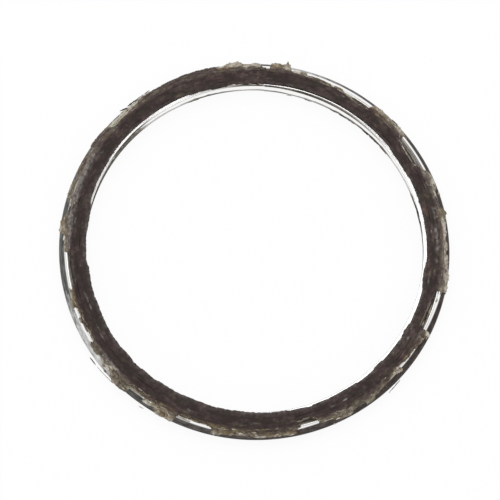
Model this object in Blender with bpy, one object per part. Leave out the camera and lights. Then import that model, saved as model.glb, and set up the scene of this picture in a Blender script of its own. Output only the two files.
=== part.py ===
"""Spiral-wound sealing ring for an exhaust flange.

A thin steel strip with a rounded chevron section is wound on itself together
with a softer filler strip. The first and last turns of steel are bare and spot
welded. The filler stands proud of the steel on both faces, spreads over the
strip's edges there, and hangs torn over the outer turns. The ring lies flat,
its axis is +Z and its lower face is at z = 0. Units are metres.
"""

import math

import bmesh
import bpy
import numpy as np

# Winding, counted in turns from the strip's inner end
BORE_RADIUS = 0.03365
INNER_BARE_TURNS = 2
FILLED_TURNS = 4
OUTER_BARE_TURNS = 2.9
INNER_END_CLOCK = 267.0
FACETS_PER_TURN = 40

# Steel strip, with its thickness measured along the ring's radius. Its section
# is steep between apex and shoulder, and shallow between shoulder and edge
STRIP_THICKNESS = 0.00020
APEX_DEPTH = 0.00152
SHOULDER_DEPTH = 0.00057
SHOULDER_HEIGHT = 0.00128
EDGE_HEIGHT = 0.00032

# Filler strip
FILLER_THICKNESS = 0.00040
FILLER_PROUD = 0.00065
SPREAD_GAP = 0.00004

# Running clearance between neighbouring plies
PLY_GAP = 0.00003

# Torn skirts of filler that hang over the outer turns
SKIRT_ROOT_THICKNESS = 0.00024
SKIRT_CLEARANCE = 0.00006
SKIRT_FLANK = 0.00005
SKIRT_STEPS_PER_FACET = 2

# Each skirt has its first and last clock angle in degrees, clockwise from +X
# seen from above, and its reach as a share of the way to the ring's rim
UPPER_SKIRTS = (
    (-13, 8, 0.85), (15, 26, 1.00), (26, 34, 0.60), (37, 56, 0.62), (68, 99, 0.70),
    (107, 119, 1.00), (122, 135, 1.06), (135, 147, 0.60), (152, 165, 0.55),
    (174, 188, 1.08), (190, 219, 0.96), (228, 256, 1.02), (268, 280, 1.06),
    (300, 317, 0.95), (325, 337, 0.62), (337, 347, 0.90),
)
LOWER_SKIRTS = (
    (32, 49, 0.95), (70, 84, 0.55), (116, 142, 1.04), (168, 190, 0.60),
    (212, 232, 0.90), (280, 292, 0.70), (318, 340, 0.60),
)

# Spot welds that fuse each end of the strip to the ply beneath, one to a facet
WELDS_PER_END = 3
WELD_LENGTH_SHARE = 0.16
WELD_HALF_HEIGHT = 0.00050

# Values worked out from the ones above
TURNS = INNER_BARE_TURNS + FILLED_TURNS + OUTER_BARE_TURNS
STRIP_HALF_HEIGHT = SHOULDER_HEIGHT + EDGE_HEIGHT
RING_HALF_HEIGHT = STRIP_HALF_HEIGHT + FILLER_PROUD
BARE_PITCH = STRIP_THICKNESS + PLY_GAP
FILLED_PITCH = STRIP_THICKNESS + FILLER_THICKNESS + 2 * PLY_GAP
FILLER_SPREAD = (FILLED_PITCH - FILLER_THICKNESS - SPREAD_GAP) / 2
OUTER_PLIES_WIDTH = math.ceil(OUTER_BARE_TURNS) * BARE_PITCH
LEAST_REACH = STRIP_THICKNESS
SKIRT_EDGE = OUTER_PLIES_WIDTH + SKIRT_CLEARANCE
FOLDED_REACH = SKIRT_EDGE + SKIRT_FLANK
LAST_STATION = round(TURNS * FACETS_PER_TURN)
FILLER_FIRST_STATION = round(INNER_BARE_TURNS * FACETS_PER_TURN)
FILLER_LAST_STATION = round((INNER_BARE_TURNS + FILLED_TURNS) * FACETS_PER_TURN) - 1
FILLER_LAST_TURN = FILLER_LAST_STATION - FACETS_PER_TURN


def clear_scene():
    """Remove every object of the open scene."""
    for item in list(bpy.data.objects):
        bpy.data.objects.remove(item, do_unlink=True)


def winding_offsets():
    """Give the strip's distance outside the bore at each station.

    A station lies one pitch outside the station of the turn before. The pitch
    is wide where filler lies between the two turns and narrow where it does not.
    """
    offsets = np.zeros(LAST_STATION + FACETS_PER_TURN + 1)
    for station in range(len(offsets)):
        if station < FACETS_PER_TURN:
            offsets[station] = BARE_PITCH * station / FACETS_PER_TURN
            continue
        below = station - FACETS_PER_TURN
        filled = FILLER_FIRST_STATION <= below <= FILLER_LAST_STATION
        offsets[station] = offsets[below] + (FILLED_PITCH if filled else BARE_PITCH)
    return offsets


OFFSETS = winding_offsets()


SIDE_PROFILE = (
    (0.0, -STRIP_HALF_HEIGHT),
    (SHOULDER_DEPTH, -SHOULDER_HEIGHT),
    (APEX_DEPTH, 0.0),
    (SHOULDER_DEPTH, SHOULDER_HEIGHT),
    (0.0, STRIP_HALF_HEIGHT),
)


def chevron_depth(z):
    """Give how far the steep part of the chevron stands outside its edges at height z."""
    return APEX_DEPTH - (APEX_DEPTH - SHOULDER_DEPTH) * abs(z) / SHOULDER_HEIGHT


def clock_degrees(station):
    """Give the clock angle of a station, clockwise from +X seen from above."""
    return INNER_END_CLOCK + 360.0 * station / FACETS_PER_TURN


def station_point(station, beyond, z):
    """Place a point beyond the strip's inner edge line at a whole station."""
    angle = -math.radians(clock_degrees(station))
    radius = BORE_RADIUS + OFFSETS[station] + beyond
    return np.array((radius * math.cos(angle), radius * math.sin(angle), z + RING_HALF_HEIGHT))


def winding_point(station, beyond, z):
    """Place a point on the straight facet that holds a fractional station."""
    low = min(int(math.floor(station)), len(OFFSETS) - 2)
    share = station - low
    start = station_point(low, beyond, z)
    end = station_point(low + 1, beyond, z)
    return start + (end - start) * share


def loft(name, sections, material):
    """Skin equal closed sections into one solid with flat ends."""
    mesh = bmesh.new()
    rows = [[mesh.verts.new(point) for point in section] for section in sections]
    count = len(rows[0])
    for row, after in zip(rows, rows[1:]):
        for index in range(count):
            following = (index + 1) % count
            mesh.faces.new((row[index], row[following], after[following], after[index]))
    mesh.faces.new(rows[0])
    mesh.faces.new(rows[-1])
    bmesh.ops.recalc_face_normals(mesh, faces=mesh.faces)
    data = bpy.data.meshes.new(name)
    mesh.to_mesh(data)
    mesh.free()
    data.materials.append(material)
    item = bpy.data.objects.new(name, data)
    bpy.context.scene.collection.objects.link(item)
    return item


def make_material(name, color, roughness, metallic):
    """Make a Principled material."""
    material = bpy.data.materials.new(name)
    material.use_nodes = True
    shader = material.node_tree.nodes["Principled BSDF"]
    shader.inputs["Base Color"].default_value = (*color, 1.0)
    shader.inputs["Roughness"].default_value = roughness
    shader.inputs["Metallic"].default_value = metallic
    return material


def steel_section(station):
    """Give the strip's section: up its inner side, down its outer side."""
    inner = [winding_point(station, depth, z) for depth, z in SIDE_PROFILE]
    outer = [winding_point(station, depth + STRIP_THICKNESS, z) for depth, z in SIDE_PROFILE]
    return inner + outer[::-1]


def weld_block(station, material):
    """Make the nugget that fuses the ply at a station to the ply one turn below."""
    below = station - FACETS_PER_TURN
    middle = STRIP_THICKNESS / 2
    heights = (-WELD_HALF_HEIGHT, 0.0, WELD_HALF_HEIGHT)
    sections = []
    for share in (0.5 - WELD_LENGTH_SHARE / 2, 0.5 + WELD_LENGTH_SHARE / 2):
        inner = [winding_point(below + share, chevron_depth(z) + middle, z) for z in heights]
        outer = [winding_point(station + share, chevron_depth(z) + middle, z) for z in heights]
        sections.append(inner + outer[::-1])
    return loft("weld_nugget", sections, material)


def weld_stations():
    """List the stations of the spot welds that hold the strip's two ends."""
    stations = []
    for index in range(WELDS_PER_END):
        stations.append(FACETS_PER_TURN + 1 + index)
        stations.append(LAST_STATION - 2 - index)
    return stations


def make_steel_strip():
    """Wind the steel strip and fuse its two ends with spot welds."""
    steel = make_material("steel_strip", (0.36, 0.36, 0.37), 0.30, 1.0)
    sections = [steel_section(station) for station in range(LAST_STATION + 1)]
    strip = loft("steel_strip", sections, steel)
    for station in weld_stations():
        weld = weld_block(station, steel)
        weld.hide_render = True
        weld.display_type = "WIRE"
        union = strip.modifiers.new("spot_weld", "BOOLEAN")
        union.operation = "UNION"
        union.solver = "EXACT"
        union.object = weld
    return strip


def torn_reach(clock, skirts):
    """Give how far the torn filler reaches outwards from its own side at a clock angle."""
    reach = LEAST_REACH
    for first, last, share in skirts:
        away = abs((clock - (first + last) / 2 + 180.0) % 360.0 - 180.0)
        if away <= (last - first) / 2:
            reach = max(reach, share * (OUTER_PLIES_WIDTH + APEX_DEPTH))
    return reach


def skirt_reaches(stations, skirts):
    """Give the reach at each station, with a skirt's flanks folded flat over the plies.

    A skirt starts and ends just past the plies' edge, so that its flank clears
    the steel before the skirt hangs down the chevron.
    """
    torn = [torn_reach(clock_degrees(station), skirts) for station in stations]
    torn[0] = LEAST_REACH
    torn[-1] = LEAST_REACH
    reaches = [LEAST_REACH]
    for before, value, after in zip(torn, torn[1:], torn[2:]):
        flank = min(before, after) < FOLDED_REACH < value
        reaches.append(FOLDED_REACH if flank else value)
    return reaches + [LEAST_REACH]


def skirt_floor(across):
    """Give a skirt's underside: level across the plies, then along the shoulder's slope."""
    drop = max(across - SKIRT_EDGE, 0.0) * EDGE_HEIGHT / SHOULDER_DEPTH
    return STRIP_HALF_HEIGHT + SKIRT_CLEARANCE - drop


def skirt_points(reach):
    """List a skirt's corners as (distance from the filler's side, height), root to top."""
    knee = SKIRT_EDGE if reach > SKIRT_EDGE else reach / 2
    return (
        (0.0, skirt_floor(0.0)),
        (knee, skirt_floor(knee)),
        (reach, skirt_floor(reach)),
        (max(knee, FILLER_SPREAD), skirt_floor(knee) + SKIRT_ROOT_THICKNESS),
        (FILLER_SPREAD, RING_HALF_HEIGHT),
    )


def filler_section(station, upper_reach, lower_reach):
    """Give the filler's section: up its inner side, then down its outer side."""
    inner_side = STRIP_THICKNESS + PLY_GAP
    outer_side = inner_side + FILLER_THICKNESS
    profile = [(inner_side - FILLER_SPREAD, -RING_HALF_HEIGHT)]
    profile += [(inner_side + depth, z) for depth, z in SIDE_PROFILE]
    profile += [(inner_side - FILLER_SPREAD, RING_HALF_HEIGHT)]
    profile += [(outer_side + across, z) for across, z in reversed(skirt_points(upper_reach))]
    profile += [(outer_side + depth, z) for depth, z in reversed(SIDE_PROFILE)]
    profile += [(outer_side + across, -z) for across, z in skirt_points(lower_reach)]
    return [winding_point(station, beyond, z) for beyond, z in profile]


def make_filler_strip():
    """Wind the filler strip between the steel turns, torn along its last turn."""
    filler = make_material("filler_strip", (0.06, 0.045, 0.04), 0.9, 0.0)
    plain = range(FILLER_FIRST_STATION, FILLER_LAST_TURN)
    steps = range(FACETS_PER_TURN * SKIRT_STEPS_PER_FACET + 1)
    torn = [FILLER_LAST_TURN + step / SKIRT_STEPS_PER_FACET for step in steps]
    sections = [filler_section(station, LEAST_REACH, LEAST_REACH) for station in plain]
    upper = skirt_reaches(torn, UPPER_SKIRTS)
    lower = skirt_reaches(torn, LOWER_SKIRTS)
    sections += [filler_section(*values) for values in zip(torn, upper, lower)]
    return loft("filler_strip", sections, filler)


clear_scene()
make_steel_strip()
make_filler_strip()
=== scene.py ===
"""Looks of a spiral-wound sealing ring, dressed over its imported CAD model.

Lengths are in metres. A clock angle is in degrees and runs clockwise from +X
seen from above, as the strips are wound. Heights count from the ring's middle
plane, and side is 1 for the upper face and -1 for the lower one. The tables of
torn edges are in millimetres, and MM turns them into metres.
"""

import math

import bpy
import numpy as np
from bpy.props import FloatProperty, FloatVectorProperty, PointerProperty
from mathutils import Matrix, Vector


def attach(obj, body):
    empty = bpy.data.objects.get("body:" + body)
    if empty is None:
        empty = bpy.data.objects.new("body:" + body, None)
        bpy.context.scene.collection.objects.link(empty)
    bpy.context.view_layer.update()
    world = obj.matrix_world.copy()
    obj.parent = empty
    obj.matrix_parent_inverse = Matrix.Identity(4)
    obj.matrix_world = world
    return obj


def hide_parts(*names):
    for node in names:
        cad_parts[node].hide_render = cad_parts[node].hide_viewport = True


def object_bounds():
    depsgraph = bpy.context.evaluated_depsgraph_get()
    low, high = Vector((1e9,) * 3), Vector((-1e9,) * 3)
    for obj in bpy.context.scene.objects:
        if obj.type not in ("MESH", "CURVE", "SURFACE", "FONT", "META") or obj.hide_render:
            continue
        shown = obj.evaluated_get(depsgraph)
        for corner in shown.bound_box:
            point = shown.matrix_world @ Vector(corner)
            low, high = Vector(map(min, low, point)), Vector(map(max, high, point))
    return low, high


bl_info = {
    "name": "Spiral-wound Sealing Ring",
    "version": (1, 0, 0),
    "blender": (4, 5, 0),
    "location": "3D View > Sidebar > Ring",
    "description": "Winds, tears and finishes an exhaust sealing ring, and sets its stage",
    "category": "Add Mesh",
}

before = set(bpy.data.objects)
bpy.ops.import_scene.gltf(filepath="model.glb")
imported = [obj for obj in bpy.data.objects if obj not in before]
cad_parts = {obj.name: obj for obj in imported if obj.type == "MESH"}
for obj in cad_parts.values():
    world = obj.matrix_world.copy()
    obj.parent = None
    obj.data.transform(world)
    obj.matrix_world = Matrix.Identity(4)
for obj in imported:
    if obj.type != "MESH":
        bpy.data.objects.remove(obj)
CAD_BOX = [list(corner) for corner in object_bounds()]

MM = 0.001

# Height of the middle plane, and of the proud filler above it
MIDDLE = (CAD_BOX[0][2] + CAD_BOX[1][2]) / 2
PROUD = (CAD_BOX[1][2] - CAD_BOX[0][2]) / 2

# Winding, counted in turns from the steel's inner end. The bare outer plies begin
# at OUTER_TURN, and the filler's last turn, which is torn, at TORN_TURN
INNER_END_CLOCK = 267.0
INNER_BARE_TURNS = 2
FILLED_TURNS = 4
TURN_COUNT = 9
STEEL_TURNS = 8.9
STATIONS_PER_TURN = 40
OUTER_TURN = INNER_BARE_TURNS + FILLED_TURNS
TORN_TURN = OUTER_TURN - 1.0
FILLER_END_TURN = 5.975

# The steel's rounded chevron: depth = APEX_DEPTH * (1 - share ** POWER) ** BEND
APEX_POWER = 1.3
APEX_BEND = 0.71

# Length over which each end of the steel is pressed thin, the share of the
# thickness that is gone at the end, and how far from the end, in turns, one more
# section stands
END_TAPER = 0.01
END_WEAR = 0.75
END_STEP = 0.00003

# Depths in metres that the pieces share: how clear the filler stays of the steel,
# how far its face lies below the proud height, how far past its own edge a torn
# filler is pulled, the narrowest cap, and the thickness of a torn sheet, of a
# frayed one, and at their closed edges
CLEAR = 0.00003
FACE_DROP = 0.00005
TORN_MARGIN = 0.0001
LEAST_CAP = 0.00006
SHEET = 0.00016
FRAYED_SHEET = 0.00012
LEAST_SHEET = 0.00001

# The share of a cap's width that stays open beside the inner lip and the torn rim,
# and the share that its sides bulge
LIP_MARGIN = 0.08
BULGE = 0.02

# Distances from the axis at which the patterns on the face and the skirts are true
FACE_RADIUS = 0.035
SKIRT_RADIUS = 0.0375

# The tables below were read at a slant, which shifts what stands above the apex by
# this many degrees times the cosine of its clock angle
SLANT_SHIFT = 0.6

# Where the filler's inner edge runs: clock angle and distance from the axis in mm
INNER_LIP = (
    (0, 34.02), (2.5, 34.03), (5, 34.25), (7.5, 34.46), (10, 34.66), (12.5, 34.66), (15, 34.43),
    (17.5, 34.53), (20, 34.3), (22.5, 34.12), (25, 34.44), (27.5, 34.36), (30, 34.23),
    (32.5, 34.33), (35, 34.26), (37, 33.96), (40, 34.25), (42, 34.36), (45, 34.32), (48, 34.22),
    (50, 34.12), (52, 34.0), (55, 34.08), (58, 34.2), (60, 34.1), (65, 34.27), (70, 34.02),
    (75, 33.95), (80, 33.95), (85, 33.83), (90, 33.68), (92.5, 33.8), (95, 33.66), (98, 33.75),
    (100, 33.58), (104, 33.58), (106, 33.5), (110, 33.6), (115, 33.5), (118, 33.5), (120, 33.68),
    (125, 33.7), (129, 33.8), (133, 33.56), (137, 33.68), (141, 33.72), (145, 33.66), (149, 33.5),
    (153, 33.46), (157, 33.58), (160, 33.54), (165, 33.44), (167.2, 33.4), (168.6, 33.7),
    (175, 33.72), (180, 33.84), (183, 33.7), (186, 33.76), (188, 33.84), (190, 34.12), (195, 34.28),
    (200, 34.32), (204, 34.34), (208, 34.42), (211, 34.48), (214, 34.62), (220, 34.58), (225, 34.5),
    (230, 34.65), (235, 34.75), (240, 34.72), (243, 34.32), (245, 34.4), (250, 34.08), (254, 34.12),
    (256, 34.42), (260, 34.3), (265, 34.37), (270, 34.42), (275, 34.6), (280, 34.58), (285, 34.5),
    (288, 34.57), (292, 34.67), (296, 34.5), (300, 34.4), (305, 34.38), (310, 34.33), (315, 34.25),
    (319, 34.1), (323, 34.07), (327, 34.22), (330, 34.38), (335, 34.3), (340, 34.34), (345, 34.36),
    (350, 34.44), (355, 34.45), (358, 34.2),
)

# The upper face's torn outer edge: clock angle, reach outwards in mm, and tone at
# the tip, from 0 for the dark face to 1 for a pale clean tear
UPPER_TEAR = (
    (0.1, 2.3, 0.76), (5.4, 2.36, 0.76), (6.2, 0.14, 0.45), (9.5, 0.05, 0.5), (12, -0.1, 0.6),
    (15, -0.25, 0.5), (17.5, -0.3, 0.55), (18.7, 0.1, 0.5), (19, 2.09, 0.85), (20.1, 2, 0.8),
    (20.4, 1.82, 0.5), (23.6, 1.3, 0.42), (25.5, 1.08, 0.45), (30.4, 1.02, 0.5), (31.8, 0.67, 0.4),
    (33.2, 0.72, 0.6), (36.2, 0.8, 0.55), (37.6, 1.2, 0.5), (42.4, 1.5, 0.55), (46.2, 1.84, 0.65),
    (47.7, 2.04, 0.75), (48.3, 1.55, 0.5), (52.3, 1.56, 0.45), (52.7, 1.85, 0.7),
    (56.5, 1.89, 0.65), (58.2, 1.7, 0.6), (60.3, 1.41, 0.55), (63.2, 1.25, 0.6), (64.2, 0.2, 0.5),
    (65.5, -0.25, 0.6), (68, -0.3, 0.7), (68.9, 0.1, 0.6), (69.3, 1.0, 0.55), (70.1, 1.15, 0.6),
    (71.3, 1.6, 0.6), (73.1, 1.8, 0.55), (76, 1.9, 0.6), (83.6, 1.9, 0.6), (84.4, 1.65, 0.55),
    (90, 1.7, 0.6), (90.3, 1.8, 0.6), (93.8, 1.82, 0.65), (94.3, 2.11, 0.62), (96.3, 2.0, 0.6),
    (97, 1.1, 0.5), (98.5, 0.9, 0.5), (103, 0.84, 0.5), (107.6, 0.92, 0.6), (108.6, 1.7, 0.66),
    (110, 2.3, 0.76), (114.7, 2.33, 0.72), (115.4, 1.13, 0.6), (124.4, 1.1, 0.6),
    (125.4, 2.3, 0.55), (128, 2.53, 0.55), (130.7, 2.52, 0.5), (131.3, 1.84, 0.8),
    (136.7, 1.66, 0.8), (137.2, 1.32, 0.8), (138.6, 1.31, 0.7), (139.1, 1.65, 0.55),
    (142.4, 1.64, 0.55), (143.2, 0.75, 0.6), (149.2, 0.75, 0.6), (149.9, 1.1, 0.55),
    (151.2, 1.0, 0.55), (151.6, 0.8, 0.6), (154.6, 0.8, 0.6), (155.2, 1.25, 0.65),
    (157.5, 1.2, 0.65), (160.4, 1.1, 0.6), (161.6, 0.2, 0.35), (163.5, -0.2, 0.25),
    (170, -0.25, 0.25), (172, 0.1, 0.4), (173, 1.1, 0.6), (178.4, 1.25, 0.6), (179.2, 2.34, 0.8),
    (182.9, 2.34, 0.65), (184, 1.5, 0.5), (185.6, 1.3, 0.5), (186.8, 0.8, 0.5), (189.3, 0.75, 0.5),
    (190.1, 2.2, 0.68), (195.1, 2.22, 0.68), (195.7, 1.6, 0.5), (197.4, 1.6, 0.5),
    (198.1, 2.15, 0.45), (205.4, 2.2, 0.45), (205.9, 1.66, 0.5), (206.7, 1.66, 0.5),
    (207.3, 2.4, 0.35), (209.9, 2.4, 0.35), (214.7, 2.17, 0.45), (215.4, 1.89, 0.85),
    (219.6, 1.37, 0.85), (225.6, 1.32, 0.5), (226.3, 2.1, 0.5), (230.9, 2.12, 0.3), (238, 2.2, 0.2),
    (246, 2.2, 0.22), (252, 2.14, 0.22), (252.4, 1.75, 0.55), (253.6, 1.8, 0.7), (255.4, 2.3, 0.8),
    (257.6, 2.5, 0.82), (259.4, 2.4, 0.8), (260.6, 1.9, 0.7), (261.6, 1.8, 0.7),
    (262.8, 2.05, 0.74), (264.6, 2.15, 0.74), (265.4, 1.5, 0.6), (266.2, 0.9, 0.3),
    (268.1, 0.95, 0.3), (268.6, 2.5, 0.74), (272, 2.5, 0.74), (272.2, 2.6, 0.85),
    (274.1, 2.6, 0.85), (274.8, 1.15, 0.5), (277.6, 1.15, 0.5), (277.9, 1.42, 0.5),
    (279.3, 1.02, 0.4), (283, 1.1, 0.5), (286, 0.95, 0.55), (288, 0.6, 0.5), (290.5, 0.8, 0.6),
    (292.5, 0.35, 0.75), (295, 0.1, 0.75), (300, 0.15, 0.65), (301, 0.6, 0.55), (301.9, 2.15, 0.8),
    (313.5, 2.2, 0.76), (314.8, 1.0, 0.5), (315.3, 0.0, 0.7), (317.4, -0.22, 0.85),
    (319.6, -0.42, 0.85), (322.8, -0.44, 0.8), (324, -0.2, 0.7), (325.2, 0.5, 0.7),
    (328.7, 2.05, 0.76), (333.2, 2.08, 0.78), (334.2, 1.29, 0.4), (339.2, 1.44, 0.4),
    (339.9, 2.3, 0.66), (342.3, 2.3, 0.72), (343.2, 1.79, 0.86), (348.2, 1.71, 0.86),
    (349, 1.5, 0.6), (349.8, 1.52, 0.6), (350.4, 1.82, 0.88), (352.4, 1.73, 0.88), (353, 1.5, 0.6),
    (353.7, 1.52, 0.6), (354.4, 1.94, 0.84), (358, 1.85, 0.82), (358.6, 2.3, 0.78),
)

# The lower face's torn outer edge, in the same terms
LOWER_TEAR = (
    (2, 0.3, 0.4), (18, 0.3, 0.4), (20, 1.4, 0.5), (33, 1.2, 0.5), (36, 1.9, 0.6), (40, 2.0, 0.6),
    (41, 1.7, 0.6), (49, 1.2, 0.5), (50, 0.3, 0.4), (68, 0.3, 0.4), (71, 1.2, 0.5), (84, 1.1, 0.45),
    (86, 0.2, 0.4), (104, 0.2, 0.4), (116, 1.5, 0.55), (118, 2.0, 0.7), (120, 1.7, 0.6),
    (129, 1.9, 0.6), (140, 1.9, 0.6), (141.5, 1.3, 0.6), (150, 0.3, 0.4), (167, 0.3, 0.4),
    (169, 1.4, 0.6), (189, 1.3, 0.5), (191, 0.3, 0.4), (211, 0.3, 0.4), (214, 2, 0.7),
    (231, 1.9, 0.6), (233, 0.3, 0.4), (279, 0.4, 0.4), (281, 1.6, 0.6), (292, 1.5, 0.6),
    (294, 0.3, 0.4), (317, 0.3, 0.4), (319, 1.4, 0.55), (339, 1.3, 0.5), (341, 0.3, 0.4),
    (358, 0.3, 0.4),
)

# What differs between the upper face, 1, and the lower one, -1
TEARS = {1: UPPER_TEAR, -1: LOWER_TEAR}
SIDE_NAMES = {1: "upper", -1: "lower"}

# How dark the cut edges of the two innermost plies are painted: clock angle and share
FIRST_PLY_DARKENING = (
    (6, 0.0), (178, 0.0), (183, 0.8), (188, 0.8), (190, 0.45), (204, 0.45), (209, 1.0), (222, 1.0),
    (226, 0.45), (234, 0.25), (252, 0.3), (257, 0.85), (268, 1.0), (298, 1.0), (304, 0.8),
    (310, 0.6), (315, 0.2), (324, 0.1), (332, 0.0),
)
SECOND_PLY_DARKENING = (
    (6, 0.0), (178, 0.0), (182, 0.6), (189, 0.25), (211, 0.1), (250, 0.15), (257, 0.8), (262, 1.0),
    (284, 1.0), (298, 0.8), (303, 0.35), (314, 0.2), (322, 0.0),
)

# The same for the steel's lower inner edge, with the share of the half height that
# the darkening reaches up
LOWER_EDGE_DARKENING = (
    (8, 0.0, 0.01), (175, 0.0, 0.01), (184, 0.6, 0.06), (189, 1.0, 0.22), (206, 1.0, 0.24),
    (210, 0.95, 0.17), (221, 0.95, 0.17), (225, 0.5, 0.06), (238, 0.5, 0.04), (244, 1.0, 0.06),
    (262, 0.5, 0.04), (272, 0.9, 0.04), (284, 0.6, 0.04), (291, 0.95, 0.05), (301, 0.9, 0.05),
    (306, 1.0, 0.06), (314, 1.0, 0.06), (318, 0.5, 0.03), (329, 0.4, 0.03), (333, 1.0, 0.05),
    (342, 1.0, 0.05), (347, 0.8, 0.04), (358, 0.8, 0.04),
)

# Painted dark reflection on the cut edges of the outer plies, above 1 for blackened, in
# the same terms as the inner ones
OUTER_DARK_REFLECTION = (
    (5, 0.93), (19, 0.93), (24, 1.15), (56, 1.15), (63, 0.98), (70, 0.98), (78, 1.15), (100, 1.15),
    (159, 0.93), (174, 0.9), (186, 1.0), (290, 1.15), (308, 1.1), (314, 0.89), (325, 0.89),
    (331, 1.0), (345, 0.95),
)

# The share of that painted dark reflection that the outermost ply's edge keeps: clock angle and share
OUTERMOST_REFLECTION_SHARE = (
    (0, 0.6), (8, 0.35), (20, 0.35), (174, 0.35), (180, 1.0), (275, 1.0), (284, 0.4), (306, 0.4),
    (312, 0.9), (350, 1.0),
)

# How much nearer the apex the bright shoulder begins and the painted dark reflection ends,
# as a share of the half height
BRIGHT_LEAN = (
    (0, 0.0), (5, 0.02), (10, -0.02), (15, -0.08), (19, -0.125), (30, -0.135), (45, -0.14),
    (60, -0.15), (65, -0.131), (70, -0.1), (97, -0.06), (108, -0.07), (120, -0.11), (143, -0.095),
    (155, -0.08), (162, -0.135), (172, -0.135), (180, -0.12), (195, -0.09), (210, -0.05),
    (225, 0.0), (240, 0.036), (255, 0.07), (270, 0.099), (285, 0.07), (300, 0.036), (315, -0.01),
    (330, -0.036), (345, -0.07), (355, -0.06),
)

# How dark the painted dark reflection round the outer apex is: clock angle and share
DARK_REFLECTION_SHARE = (
    (118, 1.0), (129, 0.95), (133, 0.53), (138, 0.47), (147, 0.48), (153, 0.6), (158, 0.77),
    (163, 0.97), (180, 1.05), (271, 1.05), (273.5, 0.5), (279, 0.52), (282, 0.64), (288, 0.74),
    (293, 0.86), (312, 1.05),
)

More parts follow.
